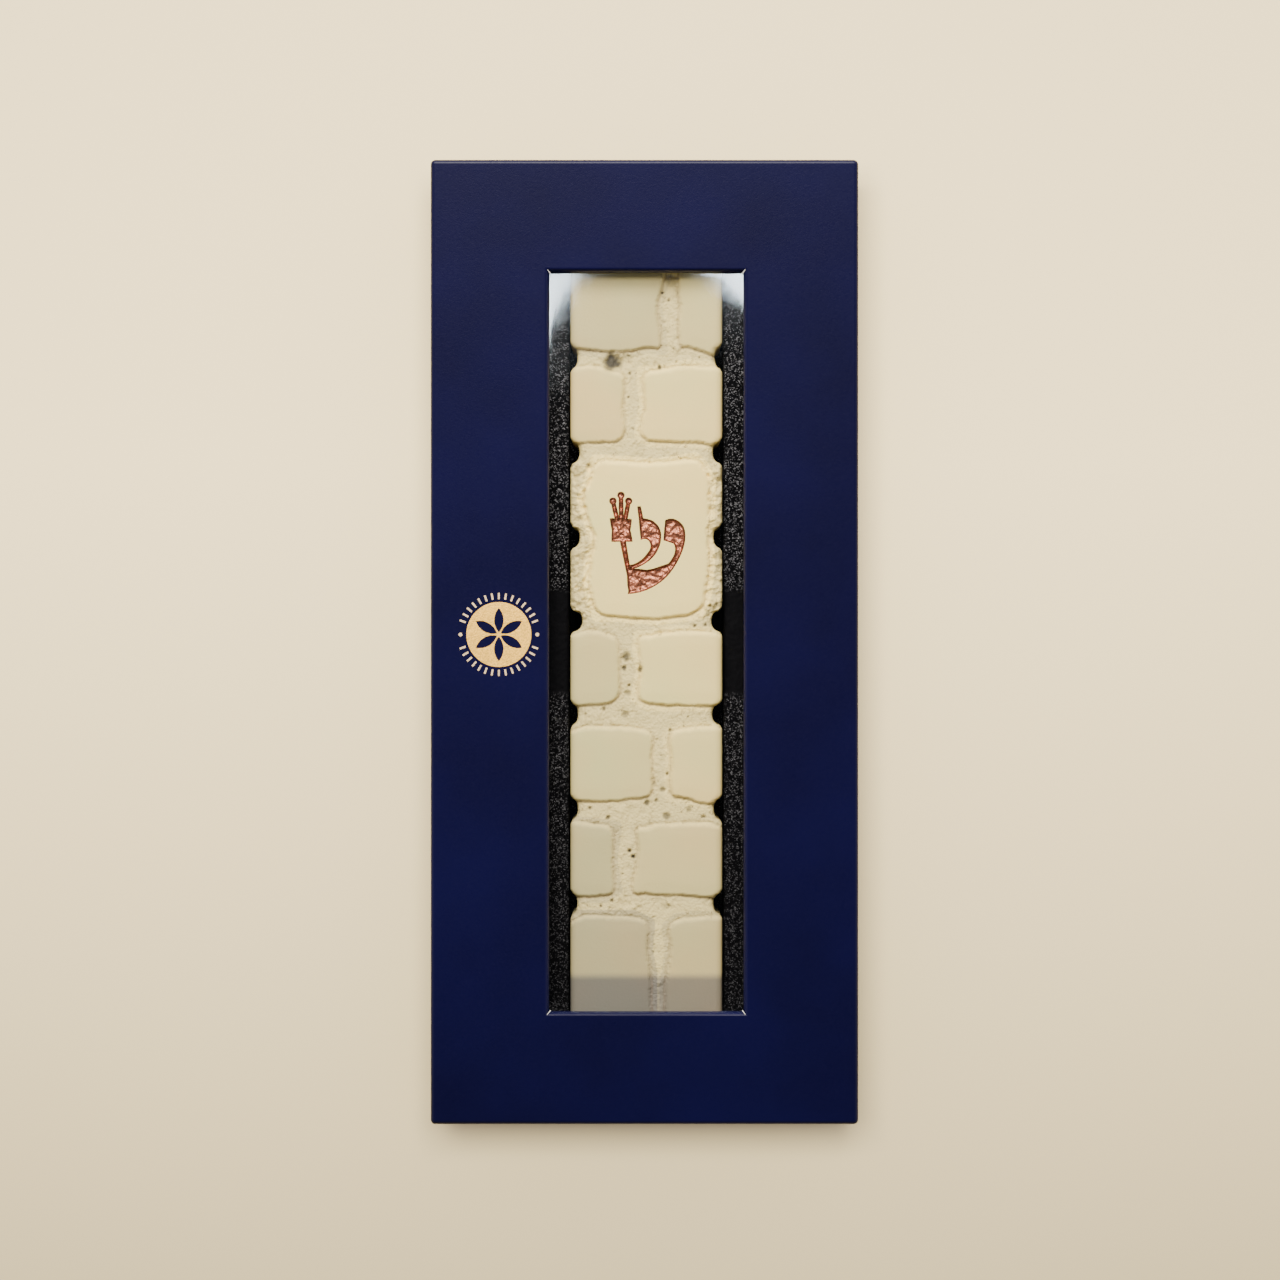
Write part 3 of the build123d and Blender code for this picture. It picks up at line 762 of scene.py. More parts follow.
class MEZUZAH_OT_window(bpy.types.Operator):
    """Stretch the film across the window and leave the flecks of bare paper at its corners"""

    bl_idname = "mezuzah.window"
    bl_label = "Stretch the window film"

    def execute(self, context):
        low, high, middle = spot("window_film")
        bm = level_grid(high - low, (middle.x, middle.y, high.z), (36, 96))
        for vert in bm.verts:
            across = (vert.co.x - WINDOW["middle"]) / WINDOW["half"].x
            along = vert.co.y / WINDOW["half"].y
            if max(abs(across), abs(along)) < 1:
                sag = (1 - across ** 2) * (1 - along ** 4)
                ripple = noise.noise(Vector((across * 0.9, along * 2.6, 4.7)))
                vert.co.z -= settings().box.film_dip * (sag + 0.35 * sag ** 0.5 * (1 + ripple))
        bmesh.ops.solidify(bm, geom=bm.faces, thickness=high.z - low.z)
        bmesh.ops.recalc_face_normals(bm, faces=bm.faces)
        place_piece(bm, "film_pane", "lid", film_material("clear_film", 1.5), ["window_film"])
        self.leave_flecks()
        return {"FINISHED"}

    def leave_flecks(self):
        """Curled slivers of bare paper where the wrap was slit to turn it into the window."""
        rng = random.Random(18)
        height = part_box("lid_wrap")[1][2] - FLECK_SINK
        bm = bmesh.new()
        for side_x, side_y in ((-1, -1), (-1, 1), (1, -1), (1, 1)):
            corner = Vector((WINDOW["middle"] + side_x * WINDOW["half"].x, side_y * WINDOW["half"].y, height))
            lean = math.atan2(side_y * rng.uniform(1.0, 1.9), side_x)
            sliver = bmesh.ops.create_cone(bm, cap_ends=True, segments=9, radius1=0.08 * MM, radius2=0.03 * MM,
                                           depth=rng.uniform(0.7, 1.0) * MM)["verts"]
            turn = Matrix.Rotation(lean, 3, "Z") @ Matrix.Rotation(math.radians(78), 3, "Y")
            bmesh.ops.rotate(bm, cent=(0, 0, 0), matrix=turn, verts=sliver)
            bmesh.ops.translate(bm, vec=corner, verts=sliver)
        bare = paper_material("bare_paper", (0.75, 0.72, 0.66), 0.9)
        place_piece(bm, "corner_flecks", "lid", bare)


class MEZUZAH_OT_seal(bpy.types.Operator):
    """Foil the seal: a rosette disc and its ring of ticks"""

    bl_idname = "mezuzah.seal"
    bl_label = "Foil the seal"

    def execute(self, context):
        gold = settings().box.gold
        pale = [0.5 * channel + 0.3 for channel in gold]
        dress_nodes(foil_material("gold_foil", gold), "seal_disc")
        dress_nodes(foil_material("pale_foil", pale), "seal_ring")
        return {"FINISHED"}


class MEZUZAH_OT_foam(bpy.types.Operator):
    """Granulate the foam frame round its pocket and finish the bed under it"""

    bl_idname = "mezuzah.foam"
    bl_label = "Granulate the foam"

    def execute(self, context):
        step = settings().box.grain_step
        low, high, middle = spot("foam_frame")
        case_low, case_high = spot("case_body")[:2]
        gap = Vector((POCKET_GAP, POCKET_GAP))
        pocket = case_low.xy - gap, case_high.xy + gap
        counts = [round((high[axis] - low[axis]) / step) for axis in (0, 1)]
        bm = level_grid(high - low, (middle.x, middle.y, high.z), counts)
        inside = [face for face in bm.faces if depth_in_box(face.calc_center_median(), *pocket) > 0]
        bmesh.ops.delete(bm, geom=inside, context="FACES")
        for vert in bm.verts:
            if vert.is_boundary and depth_in_box(vert.co, low, high) > step:
                for axis in (0, 1):
                    for corner in pocket:
                        if abs(vert.co[axis] - corner[axis]) < 0.6 * step:
                            vert.co[axis] = corner[axis]
        self.granulate(bm, pocket, low, high)
        for height in (*(high.z - drop for drop in WALL_STEPS), low.z):
            rims = extrude_loop(bm, open_edges(bm), to_height(height))
        bmesh.ops.triangle_fill(bm, use_beauty=True, edges=rims, normal=(0, 0, -1))
        bmesh.ops.recalc_face_normals(bm, faces=bm.faces)
        foam = foam_material()
        place_piece(bm, "granular_foam", "box_base", foam, ["foam_frame"], crease=75)
        dress_nodes(foam, "foam_bed")
        return {"FINISHED"}

    def granulate(self, bm, pocket, low, high):
        """Lowers the foam's top by its grain, and rounds it over at its edges."""
        height = settings().box.grain_height
        for vert in bm.verts:
            x, y = vert.co.x / MM, vert.co.y / MM
            coarse = noise.noise(Vector((x * 0.45, y * 0.45, 3.1)))
            grain = noise.voronoi(Vector((x * 1.55, y * 1.55, 0.5)))[0]
            edge = min(depth_in_box(vert.co, low, high), -depth_in_box(vert.co, *pocket))
            roll = max(0.0, 1 - edge / ROLL_WIDTH) ** 2
            vert.co.z -= height * (0.55 * min(1.0, grain[0] * 1.3) + 0.3 * (1 + coarse)) + ROLL_DROP * roll


# ================================================================ case
# Outline of each dressed stone, in millimetres from the middle of the case's front.  The outer side of a stone
# in an ordinary course runs past the flank.
PAST = 15.0
STONES = [
    [(-PAST, 66), (3.3, 66), (3.2, 59), (2.4, 57), (1.6, 53.7), (2.1, 51.5), (2.5, 47.2), (0.7, 47.6),
     (-3, 46.8), (-7.5, 46.8), (-10.6, 47.2), (-PAST, 47.6)],
    [(5.4, 66), (PAST, 66), (PAST, 45.6), (11.4, 46), (9, 46.9), (6.6, 47.6), (5.4, 47.3), (5.1, 51),
     (5.6, 53.9), (5.1, 55.4)],
    [(-PAST, 44.2), (-8.4, 44.6), (-5.2, 43.6), (-3.7, 43.1), (-3.5, 41.7), (-3.8, 38), (-3.3, 33.2),
     (-4.9, 32.2), (-7.5, 32.3), (-PAST, 31.6)],
    [(-0.7, 43.6), (2.5, 43.8), (6.4, 44.6), (PAST, 44), (PAST, 31.2), (11, 31.5), (9.2, 32.2), (0.9, 32.3),
     (-1, 33.3), (-0.8, 35.1), (-0.2, 38.2)],
    [(-8.1, 29.3), (-4.1, 29.1), (1.2, 28.6), (7.9, 29.6), (9.3, 28.2), (10.3, 25.6), (9.9, 16.4), (10.1, 13),
     (9.6, 7.5), (8.6, 4.6), (2.5, 3.7), (-1.9, 3.8), (-4.1, 4.2), (-7.8, 4.2), (-9, 7.5), (-9.2, 11.9),
     (-8.1, 16.4), (-9.1, 19.1), (-10.3, 23), (-9.1, 25.8)],
    [(-PAST, 0.8), (-11.8, 1.1), (-9, 2), (-6.3, 1.4), (-4.4, 0.4), (-4.1, -6.9), (-4.3, -8.8), (-5.6, -9.8),
     (-7.8, -10.2), (-PAST, -10.5)],
    [(-1.2, 1), (1, 1), (3.6, 1.7), (PAST, 1.5), (PAST, -10.5), (9, -10.2), (0.4, -10.2), (-1.6, -9),
     (-0.7, -4.5), (-1.3, -1.5)],
    [(-PAST, -13.7), (-1.9, -13.7), (1.3, -14.8), (0.7, -19.1), (1.3, -24.9), (-2, -25.2), (-6, -25.8),
     (-PAST, -25.6)],
    [(3.5, -14.9), (5.5, -13.8), (PAST, -13.7), (PAST, -26.1), (9, -26.2), (5.8, -25), (3.9, -24.9),
     (3.8, -22.2), (4.1, -18.9)],
    [(-PAST, -28.6), (-8.4, -29.3), (-4.9, -29.8), (-5.6, -35.2), (-4.8, -40), (-6.8, -41.1), (-PAST, -41)],
    [(-1.8, -29.9), (0, -29.9), (1.8, -29.2), (PAST, -29.2), (PAST, -41.7), (6.8, -40.9), (-1, -40.7),
     (-2.6, -40.2), (-1.2, -34.8)],
    [(-PAST, -44.1), (-1.9, -44.2), (0.5, -45.4), (0.1, -49.6), (0.8, -53.3), (0.7, -66), (-PAST, -66)],
    [(3.4, -46), (4.9, -44.7), (8, -44.3), (PAST, -44.2), (PAST, -66), (3.2, -66), (3, -55.5), (4, -49.8)],
]

# How light each stone is, in the same order: the stones' own tones, with painted shade that darkens them
# towards the foot and on the left.
STONE_TONES_AND_SHADE = [0.72, 0.82, 0.9, 1.08, 1.22, 0.82, 1.08, 0.86, 0.98, 0.66, 0.8, 0.55, 0.68]
# Painted shade: the foot of the case is darker below this line.
FOOT_LINE = -53.0
FOOT_PAINTED_SHADE = 0.63

# Height of each mortar bed at the flanks, with the bite it takes out of the left and the right one.
BITES = [(45.9, 1.15, 1.2), (30.6, 1.45, 1.5), (16.9, 1.5, 1.4), (3.4, 1.9, 1.75), (-11.7, 1.2, 1.6),
         (-27, 1.2, 1.35), (-42.3, 1.1, 1.4)]
BITE_HALF = 1.8

# Pits and hollows: place, radius, depth and darkness.
# The darkness is painted shade inside each pit.
PITS = [
    (-5.3, 45.1, 1.8, 0.55, 0.95), (-3.2, 45.5, 1.2, 0.35, 0.15), (2.6, 56.3, 0.28, 0.4, 1),
    (3.6, 55.1, 0.3, 0.3, 1), (4.1, 58.4, 1.3, 0.5, 0.35), (2.1, 44.3, 0.42, 0.3, 0.9),
    (-2.7, 43.3, 0.3, 0.3, 0.8), (-2.9, 39.5, 0.25, 0.25, 0.9), (-2.1, 34.4, 0.3, 0.2, 0.6),
    (-9.3, 28.6, 0.3, 0.3, 0.8), (10.3, 5.9, 0.35, 0.3, 0.7), (7.9, 2.6, 0.4, 0.3, 0.9),
    (9.5, 2.8, 0.4, 0.3, 0.9), (-3.3, -2.5, 0.95, 0.5, 0.8), (-3.6, -4.2, 0.45, 0.35, 0.85),
    (-1, -4.5, 0.5, 0.3, 0.8), (-2.8, -7, 0.25, 0.5, 1), (-3, -8.3, 0.6, 0.3, 0.5),
    (-6.8, -10.8, 0.42, 0.35, 0.75), (-3.4, -11.7, 0.75, 0.3, 0.55), (3.8, -14.2, 0.3, 0.25, 0.75),
    (3.35, -21.3, 0.25, 0.5, 1), (2.6, -23.8, 0.5, 0.3, 0.6), (0.1, -25.9, 0.6, 0.3, 0.8),
    (1.6, -25.6, 0.4, 0.3, 0.7), (-9.1, -26.8, 0.35, 0.3, 0.8), (-6.2, -28.3, 0.4, 0.3, 0.8),
    (3.3, -28.1, 0.8, 0.3, 0.7), (6.8, -27, 0.6, 0.25, 0.5), (9.3, -28.2, 0.4, 0.3, 0.6),
    (-2.7, -33.7, 0.36, 0.5, 1), (-2.1, -34.6, 0.4, 0.5, 1), (-3.8, -37.4, 0.22, 0.3, 0.9),
    (-5.6, -41.7, 0.3, 0.3, 0.8), (-7.3, -42.6, 0.28, 0.3, 0.9), (3.1, -42.8, 0.8, 0.2, 0.25),
]

# The hollows in the back of the case: the cover's rebate and the scroll's channel.
REBATE_DEPTH = 1.65 * MM
COVER_FIT = 0.15 * MM
CHANNEL_HALF = Vector((6, 52)) * MM
CHANNEL_DEPTH = 12 * MM

# Depth of the letter's copper floor under the case's face, and how far it climbs the walls of its pocket.
COPPER_DEPTH = 0.46 * MM
COPPER_CLIMB = 0.36 * MM


def sides(outline):
    """The straight sides of a closed outline."""
    return list(zip(outline, outline[1:] + outline[:1]))


def soften(outline):
    """Cuts an outline's corners, twice over, so that it runs in curves."""
    for _ in range(2):
        outline = [(share * x0 + (1 - share) * x1, share * y0 + (1 - share) * y1)
                   for (x0, y0), (x1, y1) in sides(outline) for share in (0.75, 0.25)]
    return outline


def distance_to_edges(x, y, edges):
    """Distance from points to the nearest of some straight edges."""
    nearest = np.full(len(x), np.inf)
    for (x0, y0), (x1, y1) in edges:
        along_x, along_y = x1 - x0, y1 - y0
        length = along_x ** 2 + along_y ** 2
        if length:
            share = np.clip(((x - x0) * along_x + (y - y0) * along_y) / length, 0, 1)
            nearest = np.minimum(nearest, np.hypot(x - x0 - share * along_x, y - y0 - share * along_y))
    return nearest


def depth_inside(x, y, outline):
    """Distance inside an outline, negative outside it."""
    inside = np.zeros(len(x), bool)
    for (x0, y0), (x1, y1) in sides(outline):
        if y0 != y1:
            inside ^= ((y0 > y) != (y1 > y)) & (x < (x1 - x0) * (y - y0) / (y1 - y0) + x0)
    nearest = distance_to_edges(x, y, sides(outline))
    return np.where(inside, nearest, -nearest)


def depth_in_stones(x, y):
    """Distance inside the nearest stone, negative in the mortar."""
    return np.max([depth_inside(x, y, soften(outline)) for outline in STONES], axis=0)


def tone_and_shade_at(x, y):
    """How light the stone nearest to each point is: its own tone with painted shade, and darker still below the
    foot line.
    """
    near = np.stack([np.clip(depth_inside(x, y, outline) + 1, 0.01, 2) ** 3 for outline in STONES])
    tones_and_shade = (near * np.array(STONE_TONES_AND_SHADE)[:, None]).sum(axis=0) / near.sum(axis=0)
    return tones_and_shade * (1 - FOOT_PAINTED_SHADE * soft_step(0, 1.6, FOOT_LINE - y))


def bite_at(y, side):
    """How far the flank is bitten in at each height."""
    bite = np.zeros(len(y))
    for middle, left, right in BITES:
        reach = np.abs(y - middle) / BITE_HALF
        round_bite = (left if side < 0 else right) * np.sqrt(np.clip(1 - reach ** 2.4, 0, 1))
        shoulder = 0.3 * np.exp(-((reach - 1) / 0.2) ** 2)
        bite = np.maximum(bite, np.maximum(round_bite, shoulder))
    return bite


def carve(x, y):
    """Height of the case's front and its colour masks, from places in millimetres."""
    look = settings().case
    mortar_depth, lumps, wobble = (v / MM for v in (look.mortar_depth, look.mortar_rough, look.edge_wobble))
    wander = wobble * (rough(x, y, 0.55, 3, 1.3) + 0.5 * rough(x, y, 1.9, 2, 7.7))
    depth = depth_in_stones(x, y) + wander
    # Edges that face the foot of the case are sharper than those that face its head, and carry a painted shadow
    # along with their dirt.
    lean = 0.35
    facing = np.clip((depth - depth_in_stones(x, y - lean) - wander) / lean, -1, 1)
    dressed = soft_step(-0.08, 1.0, depth / (0.5 - 0.2 * facing))
    slow, coarse, fine = (rough(x, y, *kind) for kind in ((0.28, 2, 3.8), (0.55, 4, 11.2), (1.7, 4, 5.4)))
    # The mortar is roughest beside the letter's stone.
    beside = soft_step(8.4, 9.6, np.abs(x)) * soft_step(3.0, 4.5, y) * (1 - soft_step(28.5, 30, y))
    rugged = 0.3 + 1.5 * beside + 0.6 * soft_step(0.1, 0.6, slow)
    mortar = -mortar_depth + 0.16 * slow + lumps * rugged * (0.6 * coarse + 0.45 * fine)
    stone = 0.06 * rough(x, y, 0.09, 2, 2.2) - 0.1 * (1 - soft_step(0, 2.4, depth)) - 0.06
    crease = np.exp(-((depth + 0.12) / 0.17) ** 2)
    bare = 1 - dressed
    wrinkle = np.exp(-(rough(x, y * 0.8, 0.5, 3, 31.7) / 0.07) ** 2) * soft_step(-0.1, 0.35, coarse) * bare
    height = mortar * bare + stone * dressed - 0.2 * crease - 0.16 * wrinkle
    # Pits in the mortar, sunk and darkened with painted shade.
    pit = soft_step(0.42, 0.7, rough(x, y, 1.25, 2, 21.0)) * bare * soft_step(0.05, 0.5, coarse)
    height = height - 0.3 * pit
    pit = 0.7 * pit
    for place_x, place_y, radius, sink, dark in PITS:
        span = np.hypot(x - place_x, y - place_y) / radius + 0.35 * min(1, 0.5 / radius) * fine
        height = height - sink * (1 - soft_step(0.45, 1.05, span))
        pit = np.maximum(pit, dark * (1 - soft_step(0.35, 1.1, span + 0.25 * coarse)))
    footward, headward = np.clip(facing, 0, 1), np.clip(-facing, 0, 1)
    # Painted shade and dirt in the crease, strongest under edges that face the foot, weakest under those that
    # face the head.
    crevice_dirt_and_shade = crease * (0.42 + 0.45 * footward - 0.34 * headward) * (0.75 + 0.25 * coarse)
    crevice_dirt_and_shade = np.maximum(crevice_dirt_and_shade, 0.26 * wrinkle)
    # Painted highlight along the edges that face the head, added to the stone's tone.
    rim = np.exp(-((depth - 0.2) / 0.2) ** 2) * headward
    masks = [np.clip(mask, 0, 1) for mask in (dressed, crevice_dirt_and_shade, pit)]
    return np.minimum(height, 0), [*masks, tone_and_shade_at(x, y) + 0.14 * rim]


class MEZUZAH_OT_stone_case(bpy.types.Operator):
    """Carve the cast-stone case: courses, mortar, bitten flanks, letter pocket, channel and rebate"""

    bl_idname = "mezuzah.stone_case"
    bl_label = "Carve the stone case"

    def execute(self, context):
        low, high, middle = spot("case_body")
        bm = self.carve_front(high - low, Vector((middle.x, middle.y, high.z)))
        rim = self.drop_flanks(bm, low, high)
        self.hollow_back(bm, rim, low, middle)
        bmesh.ops.recalc_face_normals(bm, faces=bm.faces)
        case = place_piece(bm, "stone_case", "mezuzah_case", stone_material(), ["case_body"])
        pocket = letter_prism("pocket_cutter", spot("shin_letter")[0].z, high.z + MM)
        apply_boolean(case, pocket, "DIFFERENCE")
        smooth_below(case.data, 50)
        self.paint_masks(case.data, high, middle)
        return {"FINISHED"}

    def carve_front(self, size, middle):
        """The front as a fine grid, narrowed at the bites, carved, and rounded over at its long edges."""
        look = settings().case
        counts = [round(size[axis] / look.grid_step) for axis in (0, 1)]
        bm = level_grid([side / MM for side in size], (0, 0, 0), counts)
        grid = np.array([vert.co[:2] for vert in bm.verts])
        half = size.x / MM / 2
        across, y = grid[:, 0] / half, grid[:, 1]
        flank = half - np.where(across < 0, bite_at(y, -1), bite_at(y, 1))
        x = across * flank
        height, _ = carve(x, y)
        radius = look.flank_round / MM
        aside = np.clip(radius - (flank - np.abs(x)), 0, radius)
        height = height - (radius - np.sqrt(radius ** 2 - aside ** 2)) * 0.8
        for vert, place_x, place_z in zip(bm.verts, x, height):
            vert.co = place_x, vert.co.y, place_z
        bmesh.ops.scale(bm, vec=(MM, MM, MM), verts=bm.verts)
        bmesh.ops.translate(bm, vec=middle, verts=bm.verts)
        return bm

    def drop_flanks(self, bm, low, high):
        """Carries the flanks and ends down to the back, with a slight unevenness.  Returns the rim."""
        edges = open_edges(bm)
        middle = (low + high) / 2
        for share in (0.16, 0.3, 0.5, 0.75, 1.0):
            height = high.z + (low.z - high.z) * share

            def settle(place, height=height, share=share):
                wave = noise.noise(place * (0.25 / MM)) * 0.12 * MM * math.sin(math.pi * share)
                inward = Vector((math.copysign(1, middle.x - place.x), math.copysign(1, -place.y), 0))
                return to_height(height)(place + inward * abs(wave))

            edges = extrude_loop(bm, edges, settle)
        return edges

    def hollow_back(self, bm, outer, low, middle):
        """The back face, the cover's rebate and the scroll's channel."""
        cover_low, cover_high, _ = spot("back_cover")
        rebate = (cover_high - cover_low).xy / 2 + Vector((COVER_FIT, COVER_FIT))
        hollows = ((rebate, 0, REBATE_DEPTH), (CHANNEL_HALF, REBATE_DEPTH, CHANNEL_DEPTH))
        for size, start, end in hollows:
            made = bmesh.ops.create_grid(bm, x_segments=1, y_segments=1, size=1.0)["verts"]
            for vert in made:
                vert.co = Vector((middle.x + vert.co.x * size.x, middle.y + vert.co.y * size.y, low.z + start))
            face = made[0].link_faces[0]
            ring = list(face.edges)
            bmesh.ops.delete(bm, geom=[face], context="FACES_ONLY")
            bmesh.ops.triangle_fill(bm, use_beauty=True, edges=outer + ring, normal=(0, 0, -1))
            outer = extrude_loop(bm, ring, to_height(low.z + end))
        bmesh.ops.contextual_create(bm, geom=outer)

    def paint_masks(self, mesh, high, middle):
        """Stores where the stones are, the crevices' dirt and painted shade, the pits' painted shade, and the
        stones' tones with their painted light and shade, for the stone's material.
        """
        places = points_of(mesh)
        dressed, crevice_dirt_and_shade, pit, tone_and_painted_light = carve((places[:, 0] - middle.x) / MM, (places[:, 1] - middle.y) / MM)[1]
        deep = soft_step(1.6, 3.2, (high.z - places[:, 2]) / MM)
        masks = (dressed + (1 - dressed) * deep, crevice_dirt_and_shade * (1 - deep), pit * (1 - deep), tone_and_painted_light)
        store(mesh, MASKS, "FLOAT_COLOR", "color", np.stack(masks, axis=1))


def letter_mesh():
    """The letter's outline as a bmesh, let out by the width of the painted rim."""
    bm = merged_copy("shin_letter")
    moves = []
    for vert in bm.verts:
        walls = [face.normal for face in vert.link_faces if abs(face.normal.z) < 0.5]
        outward = sum(walls, Vector()).normalized()
        lean = max(0.6, min(outward.dot(wall) for wall in walls))
        moves.append(outward * settings().case.letter_spread / lean)
    for vert, move in zip(bm.verts, moves):
        vert.co += move
    return bm


def letter_prism(name, low, high):
    """A tall prism with the letter's outline, for cutting.  The outline folds over itself where strokes are let
    out into each other, so a plain block is kept inside it, which leaves one clean skin."""
    bm = letter_mesh()
    under, over, middle = spot("shin_letter")
    for vert in bm.verts:
        vert.co.z = high + MM if vert.co.z > middle.z else low - MM
    folded = new_object("folded_letter", bm)
    reach = over - under + Vector((2 * MM, 2 * MM, 0))
    centre = (middle.x, middle.y, (low + high) / 2)
    block = new_shape(bmesh.ops.create_cube, (reach.x, reach.y, high - low), centre, size=1)
    prism = new_object(name, block)
    apply_boolean(prism, folded, "INTERSECT", crossing=True)
    return prism


def distance_to_letter(x, y):
    """Distance from points, in millimetres, to the letter's outline in plan."""
    bm = letter_mesh()
    top = spot("shin_letter")[1].z
    edges = [[(vert.co.x / MM, vert.co.y / MM) for vert in edge.verts] for edge in bm.edges
             if at_height(edge, top) and len(edge.link_faces) == 2 and edge.calc_face_angle() > 1]
    bm.free()
    return distance_to_edges(x, y, edges)


class MEZUZAH_OT_copper_letter(bpy.types.Operator):
    """Line the letter with hammered copper that climbs the walls of its pocket"""

    bl_idname = "mezuzah.copper_letter"
    bl_label = "Line the letter with copper"

    def execute(self, context):
        look = settings().case
        low, high, middle = spot("shin_letter")
        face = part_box("case_body")[1][2]
        margin = 0.5 * MM
        size = high - low + Vector((margin, margin, 0))
        counts = [round(size[axis] / look.letter_step) for axis in (0, 1)]
        bm = level_grid(size, (middle.x, middle.y, 0), counts)
        x, y = np.array([vert.co[:2] for vert in bm.verts]).T / MM
        climb = 1 - soft_step(0, look.letter_wall / MM, distance_to_letter(x, y))
        marks = rough(x, y, 1.1, 3, 9.3) * look.hammer_height
        heights = face - COPPER_DEPTH + climb * COPPER_CLIMB + marks * (1 - 0.7 * climb)
        for vert, height in zip(bm.verts, heights):
            vert.co.z = height
        rim = extrude_loop(bm, open_edges(bm), to_height(low.z - margin))
        bmesh.ops.contextual_create(bm, geom=rim)
        bmesh.ops.recalc_face_normals(bm, faces=bm.faces)
        copper = copper_material()
        letter = place_piece(bm, "copper_letter", "mezuzah_case", copper, ["shin_letter"])
        apply_boolean(letter, letter_prism("letter_keeper", low.z, face + MM), "INTERSECT")
        smooth_below(letter.data, 60)
        x, y = points_of(letter.data)[:, :2].T / MM
        # Painted shade along the letter's outline, strongest at the outline itself.
        painted_edge_shade = np.exp(-(distance_to_letter(x, y) / 0.17) ** 2)
        store(letter.data, LETTER_EDGE_SHADE, "FLOAT", "value", painted_edge_shade)
        return {"FINISHED"}


class MEZUZAH_OT_case_back(bpy.types.Operator):
    """Finish the back cover, the adhesive strips and their liners"""

    bl_idname = "mezuzah.case_back"
    bl_label = "Finish the back of the case"

    def execute(self, context):
        dress_nodes(moulded_material("cover_plastic", (0.52, 0.44, 0.31), 0.55), "back_cover")
        dress_nodes(moulded_material("foam_tape", (0.7, 0.7, 0.68), 0.85), "adhesive_strips")
        liner = paper_material("liner_paper", (0.62, 0.5, 0.22), 0.35, relief=0.01 * MM)
        dress_nodes(liner, "release_liners")
        return {"FINISHED"}


class MEZUZAH_OT_scroll(bpy.types.Operator):
    """Finish the rolled parchment and its clear sleeve"""

    bl_idname = "mezuzah.scroll"
    bl_label = "Finish the scroll"

    def execute(self, context):
        parchment = paper_material("parchment", (0.66, 0.53, 0.31), 0.6, 0.8, relief=0.05 * MM, cloud=0.18)
        dress_nodes(parchment, "parchment_scroll")
        dress_nodes(film_material("sleeve_film", 1.6), "scroll_sleeve")
        return {"FINISHED"}


# ================================================================ stage
WARM, PALE, COOL = (1.0, 0.96, 0.9), (1.0, 0.96, 0.76), (0.6, 0.62, 1.0)
# Soft lights aimed at the box: place, size, colour, and the pieces that each leaves out or falls on alone.
# Their powers are in the settings.
LIGHTS = {
    "key": ((-0.06, 0.46, 0.46), (0.34, 0.26), WARM, "EXCLUDE", ["floor"]),
    "down_light": ((-0.05, 0.24, 0.62), (0.18, 0.18), WARM, "EXCLUDE", ["floor", "lid_paper", "film_pane"]),
    "floor_light": ((-0.02, 0.07, 0.6), (0.2, 0.15), PALE, "INCLUDE", ["floor"]),
    "floor_fill": ((0, 0, 0.7), (1.0, 1.0), COOL, "INCLUDE", ["floor"]),
}
# Bright ovals that the film mirrors, in millimetres: place, size and radiance.
REFLECTIONS = {
    "crescent": ((-29, 103, 512), (19, 34), 52.0),
    "glint": ((26, 113, 512), (20, 13), 60.0),
}
SENSOR = 0.036
VIEW_CENTRE = (-0.72 * MM, 0.32 * MM)


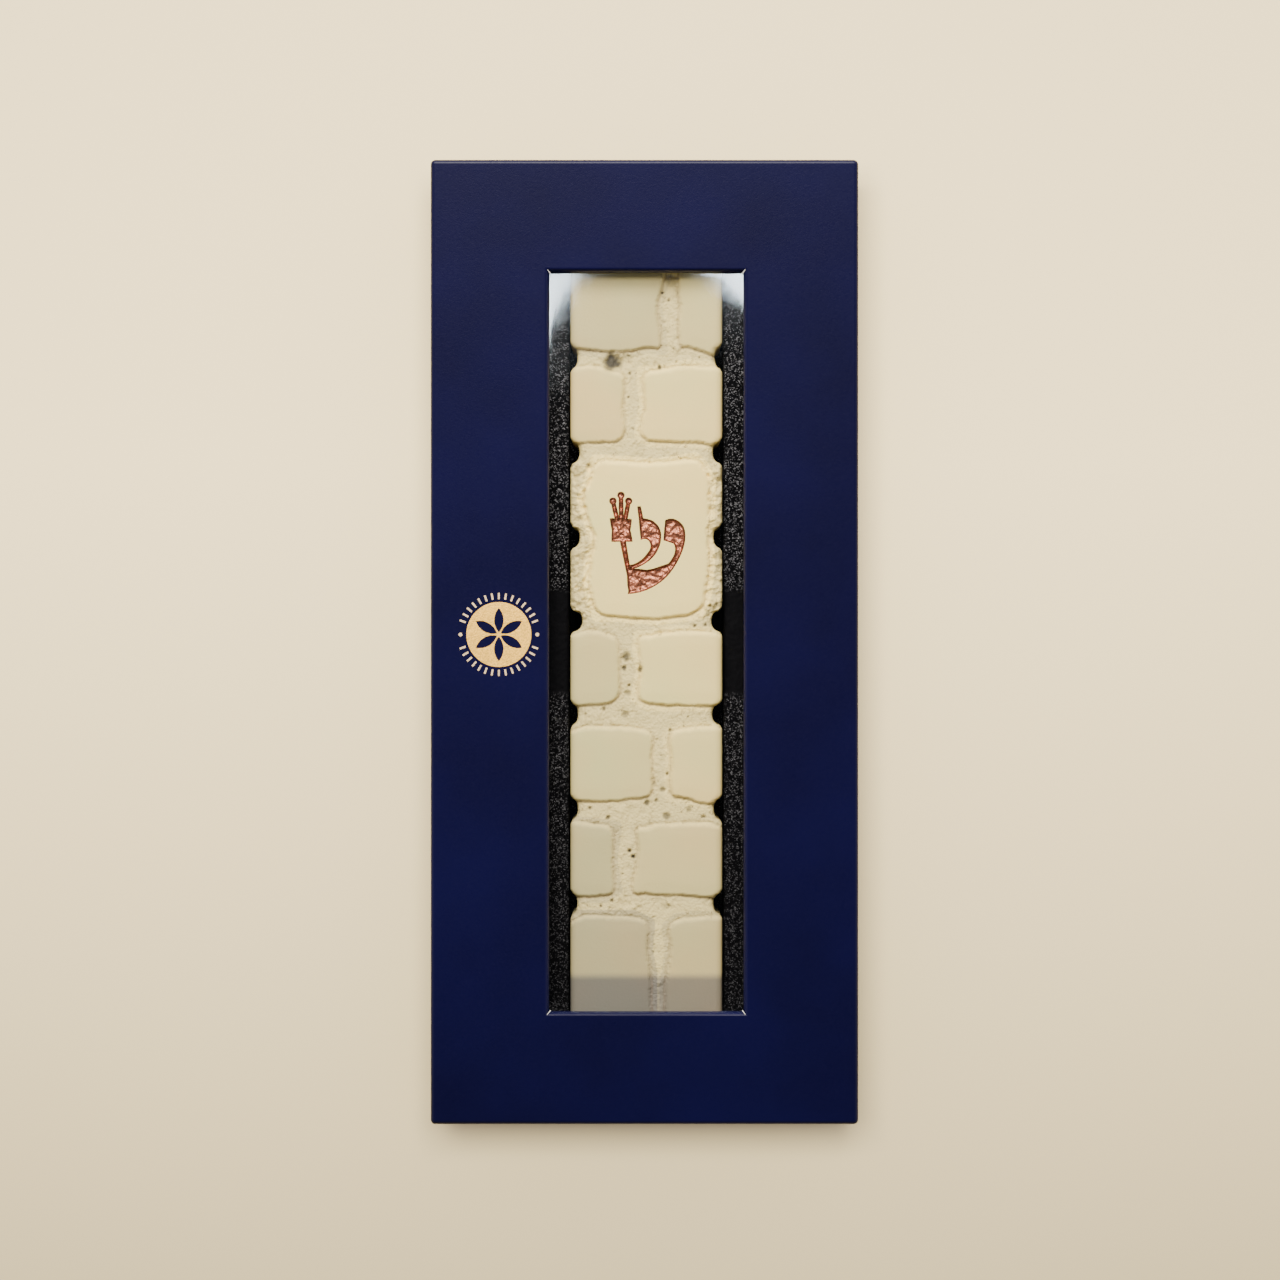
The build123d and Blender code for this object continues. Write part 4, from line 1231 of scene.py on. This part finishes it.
class MEZUZAH_OT_stage(bpy.types.Operator):
    """Lay the pale floor, hang the lights and set the camera over the window"""

    bl_idname = "mezuzah.stage"
    bl_label = "Set the stage"

    def execute(self, context):
        look = settings().stage
        bm = bmesh.new()
        bmesh.ops.create_grid(bm, x_segments=8, y_segments=8, size=3.0)
        floor = new_object("floor", bm)
        floor.data.materials.append(self.floor_material(look))
        self.fill_room(look)
        for name, (place, size, colour, state, pieces) in LIGHTS.items():
            self.hang_light(name, place, size, getattr(look, name), colour, state, pieces)
        for name, (place, size, radiance) in REFLECTIONS.items():
            self.hang_card(name, place, size, radiance)
        self.set_camera(look)
        return {"FINISHED"}

    def floor_material(self, look):
        """Matt paint, with a painted shade that darkens it towards the foot of the box."""
        material, shader, here = start_material("floor_paint", Roughness=0.9, Specular_IOR_Level=0.1)
        painted_falloff = ramp(work_out("ShaderNodeSeparateXYZ", {0: here})["Y"], -0.11, 0.03)
        join(blend_colours(painted_falloff, tone(look.floor, 0.52), look.floor), shader.inputs["Base Color"])
        return material

    def fill_room(self, look):
        """Light from pale walls, under a dark ceiling."""
        world = bpy.data.worlds.new("room")
        world.use_nodes = True
        tree = world.node_tree
        sky = tree.nodes["Background"]
        sky.inputs["Strength"].default_value = look.sky_strength
        direction = add_node(tree, "ShaderNodeTexCoord").outputs["Generated"]
        split = work_out("ShaderNodeSeparateXYZ", {0: direction})
        walls = times(ramp(split["Z"], 0.9, 0.55), ramp(split["Y"], -1.2, 0.5))
        join(blend_colours(walls, tone(look.sky, 0.02), look.sky), sky.inputs["Color"])
        bpy.context.scene.world = world

    def hang_light(self, name, place, size, power, colour, state, pieces):
        """A rectangular soft light aimed at the box, which leaves out some pieces or falls on them alone."""
        lamp = bpy.data.lights.new(name, "AREA")
        lamp.shape = "RECTANGLE"
        lamp.size, lamp.size_y = size
        lamp.energy = power
        lamp.color = colour
        light = add_object(name, lamp)
        light.location = place
        light.rotation_euler = (-Vector(place)).to_track_quat("-Z", "Y").to_euler()
        chosen = bpy.data.collections.new(name + "_receivers")
        for index, piece in enumerate(pieces):
            chosen.objects.link(bpy.data.objects[piece])
            chosen.collection_objects[index].light_linking.link_state = state
        light.light_linking.receiver_collection = chosen
        return light

    def hang_card(self, name, place, size, radiance):
        """A small bright oval over the box, to be mirrored by the film.  Place and size in millimetres."""
        width, length = (side * MM for side in size)
        power = radiance * math.pi * width * length * math.pi / 4
        place = [value * MM for value in place]
        card = self.hang_light(name, place, (width, length), power, WARM, "INCLUDE", ["film_pane"])
        card.data.shape = "ELLIPSE"
        card.rotation_euler = (0, 0, 0)

    def set_camera(self, look):
        """Looks straight down on the lid, the head of the case at the top."""
        data = bpy.data.cameras.new("camera")
        data.sensor_width = SENSOR / MM
        data.lens = SENSOR * look.camera_height / look.view_width / MM
        data.clip_start = 0.01
        camera = add_object("camera", data)
        camera.location = (*VIEW_CENTRE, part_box("lid_wrap")[1][2] + look.camera_height)
        bpy.context.scene.camera = camera


# ================================================================ panel and registration
STEPS = [
    MEZUZAH_OT_lid_paper, MEZUZAH_OT_base_paper, MEZUZAH_OT_window, MEZUZAH_OT_seal,
    MEZUZAH_OT_foam, MEZUZAH_OT_stone_case, MEZUZAH_OT_copper_letter, MEZUZAH_OT_case_back, MEZUZAH_OT_scroll,
    MEZUZAH_OT_stage,
]


class MEZUZAH_PT_builder(bpy.types.Panel):
    """Lists the steps that build the boxed case"""

    bl_label = "Boxed mezuzah case"
    bl_idname = "MEZUZAH_PT_builder"
    bl_space_type = "VIEW_3D"
    bl_region_type = "UI"
    bl_category = "Mezuzah case"

    def draw(self, context):
        for step in STEPS:
            self.layout.operator(step.bl_idname)


CLASSES = [CaseSettings, BoxSettings, StageSettings, BoxedCaseSettings, *STEPS, MEZUZAH_PT_builder]


def register():
    for item in CLASSES:
        bpy.utils.register_class(item)
    bpy.types.Scene.boxed_mezuzah_case = PointerProperty(type=BoxedCaseSettings)


def unregister():
    del bpy.types.Scene.boxed_mezuzah_case
    for item in reversed(CLASSES):
        bpy.utils.unregister_class(item)


def main():
    """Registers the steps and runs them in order."""
    register()
    for step in STEPS:
        group, name = step.bl_idname.split(".")
        getattr(getattr(bpy.ops, group), name)()


if __name__ == "__main__":
    main()
